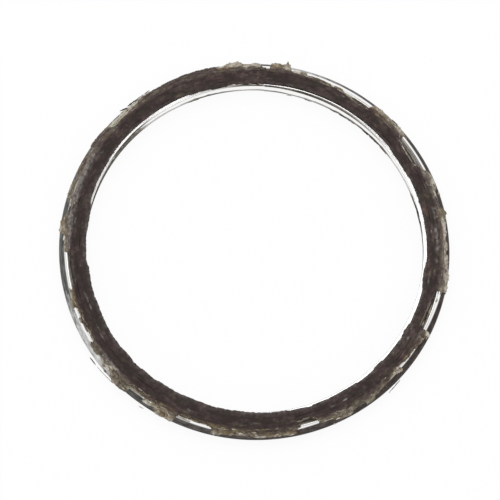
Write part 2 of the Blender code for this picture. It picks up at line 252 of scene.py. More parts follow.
# Torn bits that lie on the upper skirts and the bare steel: first and last clock
# angle, nearest and farthest reach in mm, tone, and how far the tip lifts in mm
UPPER_FLAKES = (
    (-0.8, 3.2, 1.0, 2.35, 0.74, 0.12), (2.2, 5.6, 1.2, 2.45, 0.7, 0.2),
    (8.2, 9.4, 0.8, 1.15, 0.8, 0.05), (10.6, 14.2, 0.05, 0.5, 0.7, 0.05),
    (16.2, 18.2, -0.2, 0.15, 0.66, 0.03), (18.7, 20.2, 0.3, 2.2, 0.82, 0.2),
    (20, 23.9, 0.1, 1.6, 0.6, 0.06), (32.6, 33.9, 0.9, 1.7, 0.66, 0.06),
    (33.5, 35.2, 0.7, 1.5, 0.7, 0.06), (34.6, 37.8, 0.85, 1.2, 0.8, 0.04),
    (39, 44, 0.9, 1.4, 0.42, 0.05), (44.5, 47.8, 1.2, 2.05, 0.6, 0.12),
    (52.5, 57.6, 1.3, 2, 0.56, 0.1), (58.6, 59.6, 2.1, 2.3, 0.8, 0.02),
    (60.2, 63.6, 0.9, 1.35, 0.62, 0.05), (70.6, 75.2, 1.2, 2, 0.6, 0.1),
    (75.4, 79.8, 1.55, 1.9, 0.7, 0.08), (79, 84, 1.6, 1.92, 0.74, 0.06),
    (76, 83.5, 1.3, 1.75, 0.46, 0.04), (84.5, 90, 1.2, 1.7, 0.58, 0.1),
    (86.6, 89.6, 1.25, 1.5, 0.85, 0.08), (94.3, 97, 1.2, 2.1, 0.66, 0.1),
    (103.5, 108.8, 1.0, 1.3, 0.82, 0.05), (108.6, 111, 1.1, 2.3, 0.66, 0.15),
    (111.2, 113.2, 1.4, 2.35, 0.6, 0.08), (112.8, 115, 1.3, 2.3, 0.66, 0.06),
    (110.6, 113, 0.6, 1.2, 0.62, 0.05), (113.4, 116.8, 1.0, 1.6, 0.7, 0.1),
    (116.4, 119.6, 1.2, 1.8, 0.74, 0.1), (119.8, 125.4, 0.9, 1.25, 0.72, 0.05),
    (125.3, 129, 1.5, 2.5, 0.52, 0.1), (128.2, 131.2, 1.3, 2.6, 0.55, 0.12),
    (131.3, 132.6, 1.3, 1.95, 0.7, 0.04), (132.2, 133.8, 0.6, 1.3, 0.8, 0.04),
    (133.2, 134.6, 1.2, 1.75, 0.78, 0.04), (131, 132.2, 1.9, 2.3, 0.72, 0.03),
    (133.4, 134.4, 2.0, 2.35, 0.6, 0.03), (134.8, 136.2, 1.7, 2.1, 0.8, 0.03),
    (131.8, 133, 1.45, 1.9, 0.86, 0.03), (131.5, 133, 0.3, 0.8, 0.72, 0.03),
    (133.8, 135.4, 0.4, 1.1, 0.68, 0.04), (135.2, 136.4, 0.3, 1.2, 0.82, 0.05),
    (136, 137.4, 0.7, 1.6, 0.72, 0.05), (136.6, 139.4, 0.15, 1.35, 0.74, 0.04),
    (139.2, 143, 0.9, 1.65, 0.5, 0.1), (146.5, 149.4, 0.5, 0.95, 0.5, 0.05),
    (150, 151.6, 0.7, 1.3, 0.62, 0.05), (155, 158.4, 1, 1.6, 0.6, 0.08),
    (156, 161.4, 0.85, 1.2, 0.66, 0.04), (173, 176.8, 0.7, 1.2, 0.62, 0.05),
    (176.4, 178, 1.0, 1.5, 0.85, 0.1), (179.1, 181.4, 1.2, 2.4, 0.72, 0.2),
    (181, 183.8, 1.0, 2.3, 0.52, 0.15), (187, 190.4, 1.05, 1.35, 0.8, 0.05),
    (190.2, 195.6, 1.5, 2.3, 0.58, 0.1), (189, 196, 0.95, 1.12, 0.85, 0.04),
    (190, 195.4, 0.38, 0.5, 0.8, 0.04), (198.4, 204, 0.95, 1.1, 0.66, 0.04),
    (204, 207.6, 1.3, 1.55, 0.7, 0.04), (215.4, 220, 0.85, 1.95, 0.74, 0.12),
    (219.6, 222.6, 1.2, 2.2, 0.88, 0.25), (222.6, 226.6, 1.2, 2.0, 0.84, 0.25),
    (226, 228.6, 1.7, 2.3, 0.84, 0.2), (228.6, 231, 1.8, 2.38, 0.86, 0.25),
    (252.2, 254.6, 1.3, 1.75, 0.88, 0.05), (254.8, 257.6, 0.3, 2.35, 0.74, 0.2),
    (257, 260, 0.3, 2.5, 0.77, 0.35), (260.2, 262.2, 0.2, 1.5, 0.78, 0.1),
    (262.2, 265.6, 0.2, 2.2, 0.75, 0.15), (268.4, 272.1, 0.8, 2.6, 0.6, 0.35),
    (272.1, 274.3, 0.7, 2.8, 0.74, 1.5), (275, 277.8, 0.4, 1.5, 0.84, 0.15),
    (277.2, 279.6, 0.5, 1.6, 0.66, 0.12), (278, 282, 0.5, 0.8, 0.72, 0.05),
    (282, 284.4, 0.6, 1.15, 0.56, 0.1), (285.4, 287.4, 0.5, 1.0, 0.54, 0.1),
    (288.6, 291.4, 0.5, 1.05, 0.58, 0.1), (284, 289, 0.15, 0.4, 0.62, 0.05),
    (290, 295.4, 0.2, 0.5, 0.78, 0.05), (301.6, 307.4, 0.3, 2.2, 0.7, 0.12),
    (307, 311, 0.4, 2.0, 0.62, 0.1), (308.2, 310.6, 1.8, 2.35, 0.2, 0.15),
    (310.5, 314.6, 0.2, 2.2, 0.68, 0.15), (302, 306, 0.2, 0.5, 0.5, 0.04),
    (307.6, 311.4, 0.2, 0.5, 0.55, 0.04), (314.8, 316.6, -0.05, 0.12, 0.85, 0.03),
    (316, 318.2, -0.22, -0.04, 0.85, 0.03), (317.8, 320.2, -0.38, -0.2, 0.85, 0.03),
    (319.6, 323.8, -0.44, -0.28, 0.85, 0.03), (323.2, 324.9, -0.36, -0.16, 0.75, 0.03),
    (325.4, 329, 0.1, 1.1, 0.7, 0.06), (328.6, 333.4, 0.1, 2.1, 0.72, 0.12),
    (333.6, 336.2, 0.9, 1.35, 0.8, 0.05), (334.3, 335.3, 1.8, 2.3, 0.88, 0.1),
    (339.6, 342.6, 0.6, 2.35, 0.52, 0.2), (342.8, 345.4, 0.4, 1.85, 0.76, 0.12),
    (345.2, 348.4, 0.4, 1.78, 0.8, 0.12), (347.8, 350.2, 0.9, 1.3, 0.8, 0.05),
    (350, 352.6, 0.5, 1.85, 0.74, 0.12), (352.4, 354.2, 0.9, 1.3, 0.8, 0.05),
    (354, 358.2, 0.6, 2, 0.7, 0.12),
)

# Loose strands and slivers: first and last clock angle, first and last reach in mm,
# first and last height above the middle plane in mm, thickness in mm, and tone
STRANDS = (
    (35.2, 40.4, 2.16, 2.42, -1.7, -1.75, 0.16, 0.6),
    (118, 119.6, 2.3, 2.4, -1.7, -1.75, 0.12, 0.55),
    (129.6, 136.5, 2.26, 2.44, -1.7, -1.75, 0.12, 0.66),
    (137.2, 140, 2.46, 2.5, -1.75, -1.75, 0.2, 0.4),
    (220.2, 222.6, 2.42, 1.98, 0.9, 0.8, 0.28, 0.04),
    (222.9, 226.6, 2.16, 2.1, 0.8, 0.7, 0.3, 0.06), (226.4, 228.8, 2.16, 2.24, 0.8, 0.6, 0.14, 0.3),
    (229.2, 231, 2.2, 2.24, 0.8, 0.7, 0.16, 0.3),
    (254.5, 257.6, -2.66, -2.74, 1.85, 1.7, 0.16, 0.9),
    (256.4, 259.6, -2.84, -2.66, 1.7, 1.85, 0.18, 0.9),
    (258.8, 262.2, -2.74, -2.86, 1.75, 1.66, 0.14, 0.3),
    (261.4, 264.2, -2.68, -2.84, 1.8, 1.66, 0.16, 0.85),
    (263.6, 266.2, -2.86, -2.74, 1.66, 1.8, 0.14, 0.35),
    (264.6, 266.9, -2.62, -2.9, 1.9, 1.66, 0.2, 0.97),
    (217, 222, -2.92, -2.86, 1.62, 1.6, 0.16, 0.5),
    (240.6, 244.6, -3.06, -3.04, -1.6, -1.66, 0.2, 0.48),
    (274.6, 276.4, -3.08, -3.06, -1.65, -1.7, 0.12, 0.5),
    (281, 283.6, -3.1, -3.06, -1.62, -1.7, 0.14, 0.52),
    (290.4, 293.4, -3.08, -3.04, -1.6, -1.66, 0.16, 0.55),
    (293.8, 296.6, -3.08, -3.1, -1.64, -1.68, 0.14, 0.4),
    (296.8, 300.2, -3.1, -3.06, -1.62, -1.66, 0.16, 0.5),
    (303.4, 306.2, -3.06, -3.1, -1.62, -1.7, 0.16, 0.42),
    (306.8, 311.2, -3.1, -3.04, -1.62, -1.66, 0.2, 0.4),
    (311.8, 315.4, -3.1, -3.12, -1.66, -1.6, 0.14, 0.52),
    (331.4, 337.2, -3.06, -3.02, -1.62, -1.68, 0.16, 0.38),
    (338, 343, -3.06, -3.06, -1.64, -1.6, 0.12, 0.34),
    (347, 351, -3.04, -3.0, -1.64, -1.62, 0.12, 0.36),
)

# Scuffs, torn lines and light flecks on the upper face and skirts: clock angle, distance
# from the axis in mm, length in degrees, width in mm, and strength, below zero for dark.
# The broad dark rows from clock 73 to 101 are partly painted shade beneath the torn skirt
# and partly its browner colour.
MARKS_AND_SHADE = (
    (24, 35.65, 0.8, 0.22, 1.1), (20.4, 35.2, 0.7, 0.12, 0.7), (3.2, 35.3, 1.8, 0.16, 0.5),
    (11.5, 36.5, 1.6, 0.16, 0.5), (17.2, 36.55, 0.9, 0.14, 0.7), (47.6, 35.4, 1.6, 0.16, -0.5),
    (50.6, 36.1, 1.4, 0.2, -0.9), (53, 35.95, 1.0, 0.18, 0.9), (57.6, 36.0, 0.7, 0.14, 0.5),
    (79, 37.35, 1.0, 0.16, 0.6), (80.3, 37.1, 0.7, 0.2, -0.9), (83.4, 36.2, 1.2, 0.16, 0.4),
    (105, 36.0, 0.9, 0.3, 0.4), (118.3, 35.2, 1.6, 0.14, -0.8), (117, 36.5, 1.4, 0.1, -0.8),
    (133, 36.95, 1.6, 0.1, -0.7), (142.6, 35.65, 1.1, 0.1, 0.8), (146, 35.45, 1.0, 0.1, 0.8),
    (150, 34.5, 2.2, 0.14, -0.6), (151.5, 35.55, 2.5, 0.1, -0.7), (153.3, 35.1, 0.9, 0.12, 0.8),
    (156.6, 35.15, 1.3, 0.12, 0.8), (158.4, 35.35, 1.0, 0.08, 0.5), (164, 35.1, 1.4, 0.12, -0.6),
    (174.6, 37.0, 0.9, 0.1, 0.6), (178, 36.95, 1.2, 0.1, 0.6), (182.7, 36.35, 1.0, 0.18, 0.6),
    (183, 36.92, 2.6, 0.09, 0.6), (193, 36.98, 2.2, 0.1, 0.9), (189.4, 36.92, 0.9, 0.09, 0.9),
    (191.4, 37.8, 3.2, 0.09, 1.1), (194.6, 37.82, 1.4, 0.1, 0.9), (199, 37.2, 1.3, 0.09, 0.6),
    (202, 37.36, 1.4, 0.09, 0.7), (205, 37.52, 1.3, 0.1, 0.7), (206.8, 36.35, 0.5, 0.18, 0.8),
    (215.6, 37.2, 1.0, 0.22, 0.6), (221.4, 37.4, 0.7, 0.2, -0.6), (251.4, 37.5, 0.6, 0.16, 0.6),
    (258.2, 37.2, 1.0, 0.16, 0.6), (261.3, 37.3, 1.0, 0.16, 0.8), (264.2, 37.2, 0.8, 0.12, 0.6),
    (266.8, 37.5, 1.2, 0.28, -0.6), (268, 35.1, 1.2, 0.16, -0.6), (276.4, 37.6, 1.3, 0.12, 0.9),
    (285.5, 36.98, 2.0, 0.09, 0.7), (288.4, 37.04, 1.6, 0.09, 0.6), (291.6, 37.24, 1.7, 0.1, 0.9),
    (294.4, 37.08, 1.4, 0.09, 0.8), (297.4, 36.56, 2.2, 0.12, 0.6), (292.4, 36.35, 0.8, 0.16, 0.5),
    (309, 37.2, 1.4, 0.12, 0.7), (315.6, 36.76, 0.9, 0.12, 0.8), (331.8, 36.5, 0.9, 0.16, 0.5),
    (341.4, 36.6, 1.3, 0.22, 0.95), (339.6, 37.0, 0.35, 0.4, 0.6), (346.6, 36.42, 1.7, 0.3, 0.8),
    (350.2, 36.5, 1.7, 0.28, 0.8), (353, 36.47, 1.1, 0.34, 1.0), (346.6, 35.5, 0.5, 0.14, 0.9),
    (345, 35.75, 0.9, 0.12, 0.5), (355.5, 35.35, 1.6, 0.12, -0.7), (356.4, 36.4, 0.7, 0.3, 0.6),
    (176, 37.3, 3.4, 0.32, 0.75), (183.5, 37.3, 3.0, 0.34, 0.6), (192.5, 37.45, 3.4, 0.32, 0.7),
    (201, 37.7, 4.5, 0.32, 0.6), (199, 37.25, 3.5, 0.2, 0.4), (132.6, 37.35, 1.8, 0.32, 0.95),
    (135.8, 37.35, 1.8, 0.32, 0.95), (320.6, 36.55, 2.4, 0.16, 0.5), (327.5, 37.3, 2.4, 0.4, 0.5),
    (335, 37.35, 4.0, 0.25, 0.25), (21.6, 37.3, 1.5, 0.34, 0.55), (80, 37.2, 7, 0.36, -0.45),
    (73, 37.1, 4, 0.3, -0.3), (90, 37.0, 4, 0.3, -0.3), (101, 37.0, 6, 0.3, -0.35),
    (189, 36.95, 8, 0.4, 0.3), (200, 37.0, 7, 0.36, 0.25), (180, 36.9, 5, 0.3, 0.3),
    (357, 37.6, 8, 0.3, 0.25), (192.5, 37.9, 6, 0.4, 0.45), (203, 37.9, 6, 0.4, 0.4),
    (340, 37.9, 9, 0.4, 0.35), (336, 38.4, 7, 0.4, 0.3), (81, 37.9, 8, 0.45, -0.6),
    (56, 38.45, 7, 0.4, -0.4), (45, 38.4, 5, 0.35, -0.35), (183, 37.6, 6, 0.4, 0.3),
)

# Base colours that only one material uses
# Dark tones of the cut edges, which on the outer plies are painted dark reflection
EDGE_DARK_TONES = ((0.4, (0.06, 0.052, 0.044)), (0.64, (0.185, 0.162, 0.132)))
EDGE_DARKEST = (0.012, 0.011, 0.01)
# Tints of the painted dark reflection round the apex, bluer towards -X
DARK_BAND_TINTS = ((0.04, (0.66, 0.58, 0.55)), (0.5, (1.0, 1.0, 1.0)), (0.95, (1.5, 1.72, 1.7)))
HUES = (
    (0.34, (0.88, 1.02, 0.8)), (0.47, (1.0, 1.0, 1.0)),
    (0.53, (1.0, 1.0, 1.0)), (0.66, (1.08, 0.94, 1.06)),
)
RUSTY = (1.06, 0.95, 0.76)
SCUFF_LIGHT = (0.27, 0.25, 0.235)
DARK_MARK_AND_SHADE = (0.022, 0.018, 0.015)

# Grid sizes of the modelled surfaces: sections to a turn of steel or filler, to
# a skirt, a flake, a chip and a strand, and points on a section
STEEL_STEPS = 300
STEEL_SIDE_STEPS = 8
FILLER_STEPS = 900
CAP_SHARES = (0.0, 0.012, 0.1, 0.22, 0.34, 0.45, 0.55, 0.66, 0.78, 0.9, 0.988, 1.0)
WEB_SHARES = (0.0, 0.55, 0.82, 1.0)
SKIRT_STEPS = {1: 3000, -1: 1500}
SKIRT_RIBS = 14
FLAKE_STEPS = 30
CHIP_STEPS = 9
FLAKE_RIBS = 6
STRAND_STEPS = 24
STRAND_SIDES = 6
CHIP_COUNT = 420
NOISE_CELLS = 512

# Seeds of each piece's noise, by side where there are two. A skirt's second layer
# adds LAYER_SEED to its own, and SCATTER_SEED is for where the chips lie
FILLER_SEEDS = {1: 101, -1: 301}
SKIRT_SEEDS = {1: 501, -1: 601}
LAYER_SEED = 50
FLAKE_SEED = 701
CHIP_SEED = 801
SCATTER_SEED = 5
STRAND_SEED = 901

# The stage: half the floor's side, the share of its look that glows, and the lamp
FLOOR_HALF = 1.5
FLOOR_GLOW = 0.92
LAMP_SIZE = 0.5
LAMP_PLACE = (-0.1, 0.2, 0.6)
CLIP_RANGE = (0.01, 10.0)


def length_property(name, description, default):
    """Describe a length for a settings group."""
    return FloatProperty(
        name=name, description=description, default=default, unit="LENGTH", subtype="DISTANCE"
    )


def colour_property(name, description, default):
    """Describe a colour for a settings group."""
    return FloatVectorProperty(
        name=name, description=description, default=default, subtype="COLOR", min=0.0, max=1.0
    )


class RingSizes(bpy.types.PropertyGroup):
    """Sizes of the strips and of what the filler does at its edges."""

    bore_radius: length_property(
        "Bore radius", "Distance from the axis to the steel's innermost edge", 0.03365
    )
    strip_thickness: length_property(
        "Strip thickness", "Thickness of the steel, measured along the ring's radius", 0.0002
    )
    ply_gap: length_property("Ply gap", "Clearance between neighbouring plies", 0.00003)
    filler_thickness: length_property(
        "Filler thickness", "Thickness of the filler between two turns of steel", 0.0004
    )
    filler_spread: length_property(
        "Filler spread", "How far the proud filler spreads over the steel on each side", 0.00012
    )
    half_height: length_property(
        "Steel half height", "Height of the steel's edges above the ring's middle plane", 0.0016
    )
    apex_depth: length_property(
        "Apex depth", "How far the chevron's apex stands outside its edges", 0.00152
    )
    relief: length_property(
        "Face relief", "Depth of the lumps and pits on the filler's face", 0.00009
    )


class RingColours(bpy.types.PropertyGroup):
    """Colours and finish of the steel and the filler."""

    bright_steel: colour_property(
        "Bright steel", "Clean rolled steel on the strip's shoulders", (0.97, 0.965, 0.955)
    )
    # Dark base colour that paints the dark reflection round the strip's apex
    dark_reflection: colour_property(
        "Dark reflection", "Steel dulled by heat round the strip's apex", (0.075, 0.066, 0.063)
    )
    face: colour_property("Filler face", "Dark pressed face of the filler", (0.0525, 0.037, 0.034))
    olive: colour_property("Filler root", "Brown filler where a tear begins", (0.115, 0.095, 0.074))
    tan: colour_property("Torn filler", "Tan filler inside a tear", (0.235, 0.2, 0.148))
    pale: colour_property("Frayed edge", "Pale edge of a clean tear", (0.66, 0.62, 0.55))


class StageSettings(bpy.types.PropertyGroup):
    """Camera, lamps and ground."""

    lens: FloatProperty(
        name="Focal length",
        description="Focal length of the camera",
        default=1200.0,
        unit="CAMERA",
    )
    distance: length_property(
        "Camera distance", "Distance from the camera to the ring's middle", 3.331
    )
    elevation: FloatProperty(
        name="Elevation",
        description="Angle of the camera above the ground",
        default=math.radians(74.5),
        subtype="ANGLE",
    )
    roll: FloatProperty(
        name="Roll",
        description="Turn of the camera about its own axis",
        default=math.radians(6.667),
        subtype="ANGLE",
    )
    aim_left: length_property(
        "Aim left", "How far left of the ring's middle the camera looks", 0.00092
    )
    aim_up: length_property("Aim up", "How far above the ring's middle the camera looks", 0.00024)
    ambient: FloatProperty(
        name="Ambient light",
        description="Strength of the even light from all round",
        default=0.72,
    )
    lamp_power: FloatProperty(
        name="Lamp power",
        description="Power of the soft lamp over the ring",
        default=1.5,
        unit="POWER",
    )


def lattice_noise(x, y, seed):
    """Give smooth noise from -1 to 1.

    Formula: random values stand at whole grid points, and the four round a
    point are blended by 3t^2 - 2t^3 of its place in its cell.
    """
    table = np.random.default_rng(seed).uniform(-1.0, 1.0, (NOISE_CELLS, NOISE_CELLS))
    x, y = np.broadcast_arrays(x, y)
    column = np.floor(x).astype(int)
    row = np.floor(y).astype(int)
    across = (x - column) ** 2 * (3.0 - 2.0 * (x - column))
    along = (y - row) ** 2 * (3.0 - 2.0 * (y - row))
    left, right = column % NOISE_CELLS, (column + 1) % NOISE_CELLS
    low, high = row % NOISE_CELLS, (row + 1) % NOISE_CELLS
    near = table[low, left] * (1 - across) + table[low, right] * across
    far = table[high, left] * (1 - across) + table[high, right] * across
    return near * (1 - along) + far * along


def rough_noise(x, y, seed, octaves=3):
    """Give rough noise from -1 to 1: each octave is half as strong and twice as fine."""
    total = sum(lattice_noise(x * 2**n, y * 2**n, seed + n) / 2**n for n in range(octaves))
    return total / sum(1 / 2**n for n in range(octaves))


def level_noise(angle, radius, size, seed, octaves):
    """Give rough noise over the ring's plane, in lumps of a size in metres."""
    return rough_noise(radius * np.cos(angle) / size, radius * np.sin(angle) / size, seed, octaves)


def smooth_step(low, high, value):
    """Ramp from 0 to 1 between low and high, by 3t^2 - 2t^3."""
    share = np.clip((value - low) / (high - low), 0.0, 1.0)
    return share * share * (3.0 - 2.0 * share)


def round_the_clock(clock, table, column=1):
    """Read a column of a table at any clock angle, straight between its rows."""
    rows = np.array(table)
    return np.interp(clock, rows[:, 0], rows[:, column], period=360.0)


def seen_from_camera(clock):
    """Give the clock angle under which the tables name a place above the apex.

    Formula: the true clock angle less the slant's shift times its cosine.
    """
    return clock - SLANT_SHIFT * np.cos(np.radians(clock))


def clock_of(turns):
    """Give the clock angle after so many turns."""
    return INNER_END_CLOCK + 360.0 * turns


def torn_turn_at(clock):
    """Give the place on the filler's last turn at a clock angle, in turns."""
    return (clock - INNER_END_CLOCK) % 360.0 / 360.0 + TORN_TURN


def winding_radius(turns, sizes):
    """Give the distance from the axis to the steel's inner edge after so many turns.

    Formula: the bore's radius, plus one pitch for each turn already wound, wide
    where filler lies over it and narrow where not, plus a bare pitch times the
    share of this turn. It is worked out at 40 stations a turn and runs straight
    between them.
    """
    bare = sizes.strip_thickness + sizes.ply_gap
    filled = sizes.strip_thickness + sizes.filler_thickness + 2 * sizes.ply_gap
    pitches = np.full(TURN_COUNT + 1, bare)
    pitches[INNER_BARE_TURNS : INNER_BARE_TURNS + FILLED_TURNS] = filled
    starts = np.concatenate(([0.0], np.cumsum(pitches)))
    stations = np.arange((TURN_COUNT + 1) * STATIONS_PER_TURN)
    offsets = starts[stations // STATIONS_PER_TURN]
    offsets = offsets + bare * (stations % STATIONS_PER_TURN) / STATIONS_PER_TURN
    return sizes.bore_radius + np.interp(turns * STATIONS_PER_TURN, stations, offsets)


def chevron_depth(height, sizes):
    """Give how far the steel stands outside its edges at a height.

    Formula: apex depth times (1 - |height / half height|^power)^bend, which is
    steep round the apex and turns flat at the edges.
    """
    share = np.clip(np.abs(height) / sizes.half_height, 0.0, 1.0)
    return sizes.apex_depth * (1.0 - share**APEX_POWER) ** APEX_BEND


def shoulder_height(depth, sizes):
    """Give the height at which the steel stands so far outside its edges."""
    share = np.clip(depth / sizes.apex_depth, 0.0, 1.0)
    return sizes.half_height * (1.0 - share ** (1 / APEX_BEND)) ** (1 / APEX_POWER)


def place(clock, radius, height):
    """Turn clock angles, distances from the axis and heights into points."""
    angle = np.radians(clock)
    parts = (radius * np.cos(angle), -radius * np.sin(angle), MIDDLE + height)
    return np.stack(np.broadcast_arrays(*parts), axis=-1)


def pair(along, across):
    """Join places along and across the winding into UV coordinates."""
    return np.stack(np.broadcast_arrays(along, across), axis=-1)


def there_and_back(out, back):
    """Join a section's values on the way out with those on the way back."""
    return np.concatenate((out, back[..., ::-1]), axis=-1)


def skin(name, points, uv, values, material, flip=False):
    """Make an object from closed sections.

    points is (lofts, stations, loop, 3). Each station's loop is joined to the
    next by quads, and the first and last loops are closed by quads between
    their two halves. The faces look outwards where the loops run up the side
    nearer the axis while the stations follow the clock, and flip turns them
    round for loops or heights that run the other way. uv is given for each
    point, and values are named numbers for each point.
    """
    lofts, stations, loop = points.shape[:3]
    index = np.arange(lofts * stations * loop).reshape(lofts, stations, loop)
    after = np.roll(index, -1, axis=2)
    sides = np.stack((index[:, 1:], after[:, 1:], after[:, :-1], index[:, :-1]), axis=-1)
    half = np.arange(loop // 2 - 1)
    corners = (half, half + 1, loop - 2 - half, loop - 1 - half)
    start_cap = np.stack([index[:, 0, corner] for corner in corners], axis=-1)
    end_cap = np.stack([index[:, -1, corner] for corner in reversed(corners)], axis=-1)
    quads = np.concatenate([part.reshape(-1, 4) for part in (sides, start_cap, end_cap)])
    if flip:
        quads = quads[:, ::-1]
    mesh = bpy.data.meshes.new(name)
    mesh.vertices.add(index.size)
    mesh.vertices.foreach_set("co", points.reshape(-1))
    mesh.loops.add(quads.size)
    mesh.loops.foreach_set("vertex_index", quads.reshape(-1))
    mesh.polygons.add(len(quads))
    mesh.polygons.foreach_set("loop_start", np.arange(0, quads.size, 4))
    mesh.update(calc_edges=True)
    layer = mesh.uv_layers.new(name="winding")
    layer.uv.foreach_set("vector", uv.reshape(-1, 2)[quads.reshape(-1)].reshape(-1))
    for key, value in values.items():
        attribute = mesh.attributes.new(key, "FLOAT", "POINT")
        spread = np.ascontiguousarray(np.broadcast_to(value, index.shape), dtype=np.float32)
        attribute.data.foreach_set("value", spread.reshape(-1))
    mesh.shade_smooth()
    mesh.materials.append(material)
    item = bpy.data.objects.new(name, mesh)
    bpy.context.scene.collection.objects.link(item)
    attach(item, "root")
    return item


def add_node(tree, kind, inputs=()):
    """Add a node and set the values of its inputs."""
    node = tree.nodes.new(kind)
    for key, value in dict(inputs).items():
        node.inputs[key].default_value = value
    return node


def feed(tree, socket, value):
    """Link another node's result to an input, or set the input to a number or a colour."""
    if isinstance(value, bpy.types.NodeSocket):
        tree.links.new(value, socket)
    elif isinstance(value, tuple):
        socket.default_value = (*value, 1.0)
    else:
        socket.default_value = value


def add_math(tree, operation, first, second=0.0):
    """Add a Math node on two sockets or numbers, and give its result."""
    node = add_node(tree, "ShaderNodeMath")
    node.operation = operation
    for socket, value in zip(node.inputs, (first, second)):
        feed(tree, socket, value)
    return node.outputs[0]


def add_sway(tree, value, strength):
    """Add nodes that turn a pattern from 0 to 1 into one about zero, so many times as strong."""
    return add_math(tree, "MULTIPLY", add_math(tree, "SUBTRACT", value, 0.5), strength)


def add_ramp(tree, factor, stops):
    """Add a Color Ramp with stops of (place, colour), and give its result."""
    node = add_node(tree, "ShaderNodeValToRGB")
    elements = node.color_ramp.elements
    while len(elements) < len(stops):
        elements.new(0.5)
    for element, (position, value) in zip(elements, stops):
        element.position = position
        element.color = (*value, 1.0)
    tree.links.new(factor, node.inputs["Fac"])
    return node.outputs["Color"]


def add_grey_ramp(tree, factor, *stops):
    """Add a Color Ramp with stops of (place, grey), and give its result."""
    return add_ramp(tree, factor, [(position, (grey, grey, grey)) for position, grey in stops])


def read_attribute(tree, name):
    """Add a node that reads a number stored on the mesh's points."""
    node = add_node(tree, "ShaderNodeAttribute")
    node.attribute_name = name
    return node.outputs["Fac"]


def add_noise(tree, vector, scale, detail=3.0, roughness=0.55):
    """Add a Noise Texture on a vector, and give its grey result."""
    inputs = {"Scale": scale, "Detail": detail, "Roughness": roughness}
    node = add_node(tree, "ShaderNodeTexNoise", inputs)
    tree.links.new(vector, node.inputs["Vector"])
    return node.outputs["Fac"]


def add_streaks(tree, vector, along, across, detail=3.0, roughness=0.55):
    """Add noise with so many cells to a metre along and across the winding."""
    node = add_node(tree, "ShaderNodeMapping", {"Scale": (along, across, 1.0)})
    tree.links.new(vector, node.inputs["Vector"])
    return add_noise(tree, node.outputs["Vector"], 1.0, detail, roughness)


def add_mix(tree, factor, first, second, blend="MIX"):
    """Add a colour Mix node, and give its result."""
    node = add_node(tree, "ShaderNodeMix")
    node.data_type = "RGBA"
    node.blend_type = blend
    sockets = (node.inputs[0], node.inputs[6], node.inputs[7])
    for socket, value in zip(sockets, (factor, first, second)):
        feed(tree, socket, value)
    return node.outputs[2]


def add_bump(tree, shader, height, strength, distance):
    """Add a Bump node that roughens a shader by a height."""
    node = add_node(tree, "ShaderNodeBump", {"Strength": strength, "Distance": distance})
    tree.links.new(height, node.inputs["Height"])
    tree.links.new(node.outputs["Normal"], shader.inputs["Normal"])


def new_material(name):
    """Make a material and give it with its node tree and Principled shader."""
    material = bpy.data.materials.new(name)
    material.use_nodes = True
    tree = material.node_tree
    return material, tree, tree.nodes["Principled BSDF"]


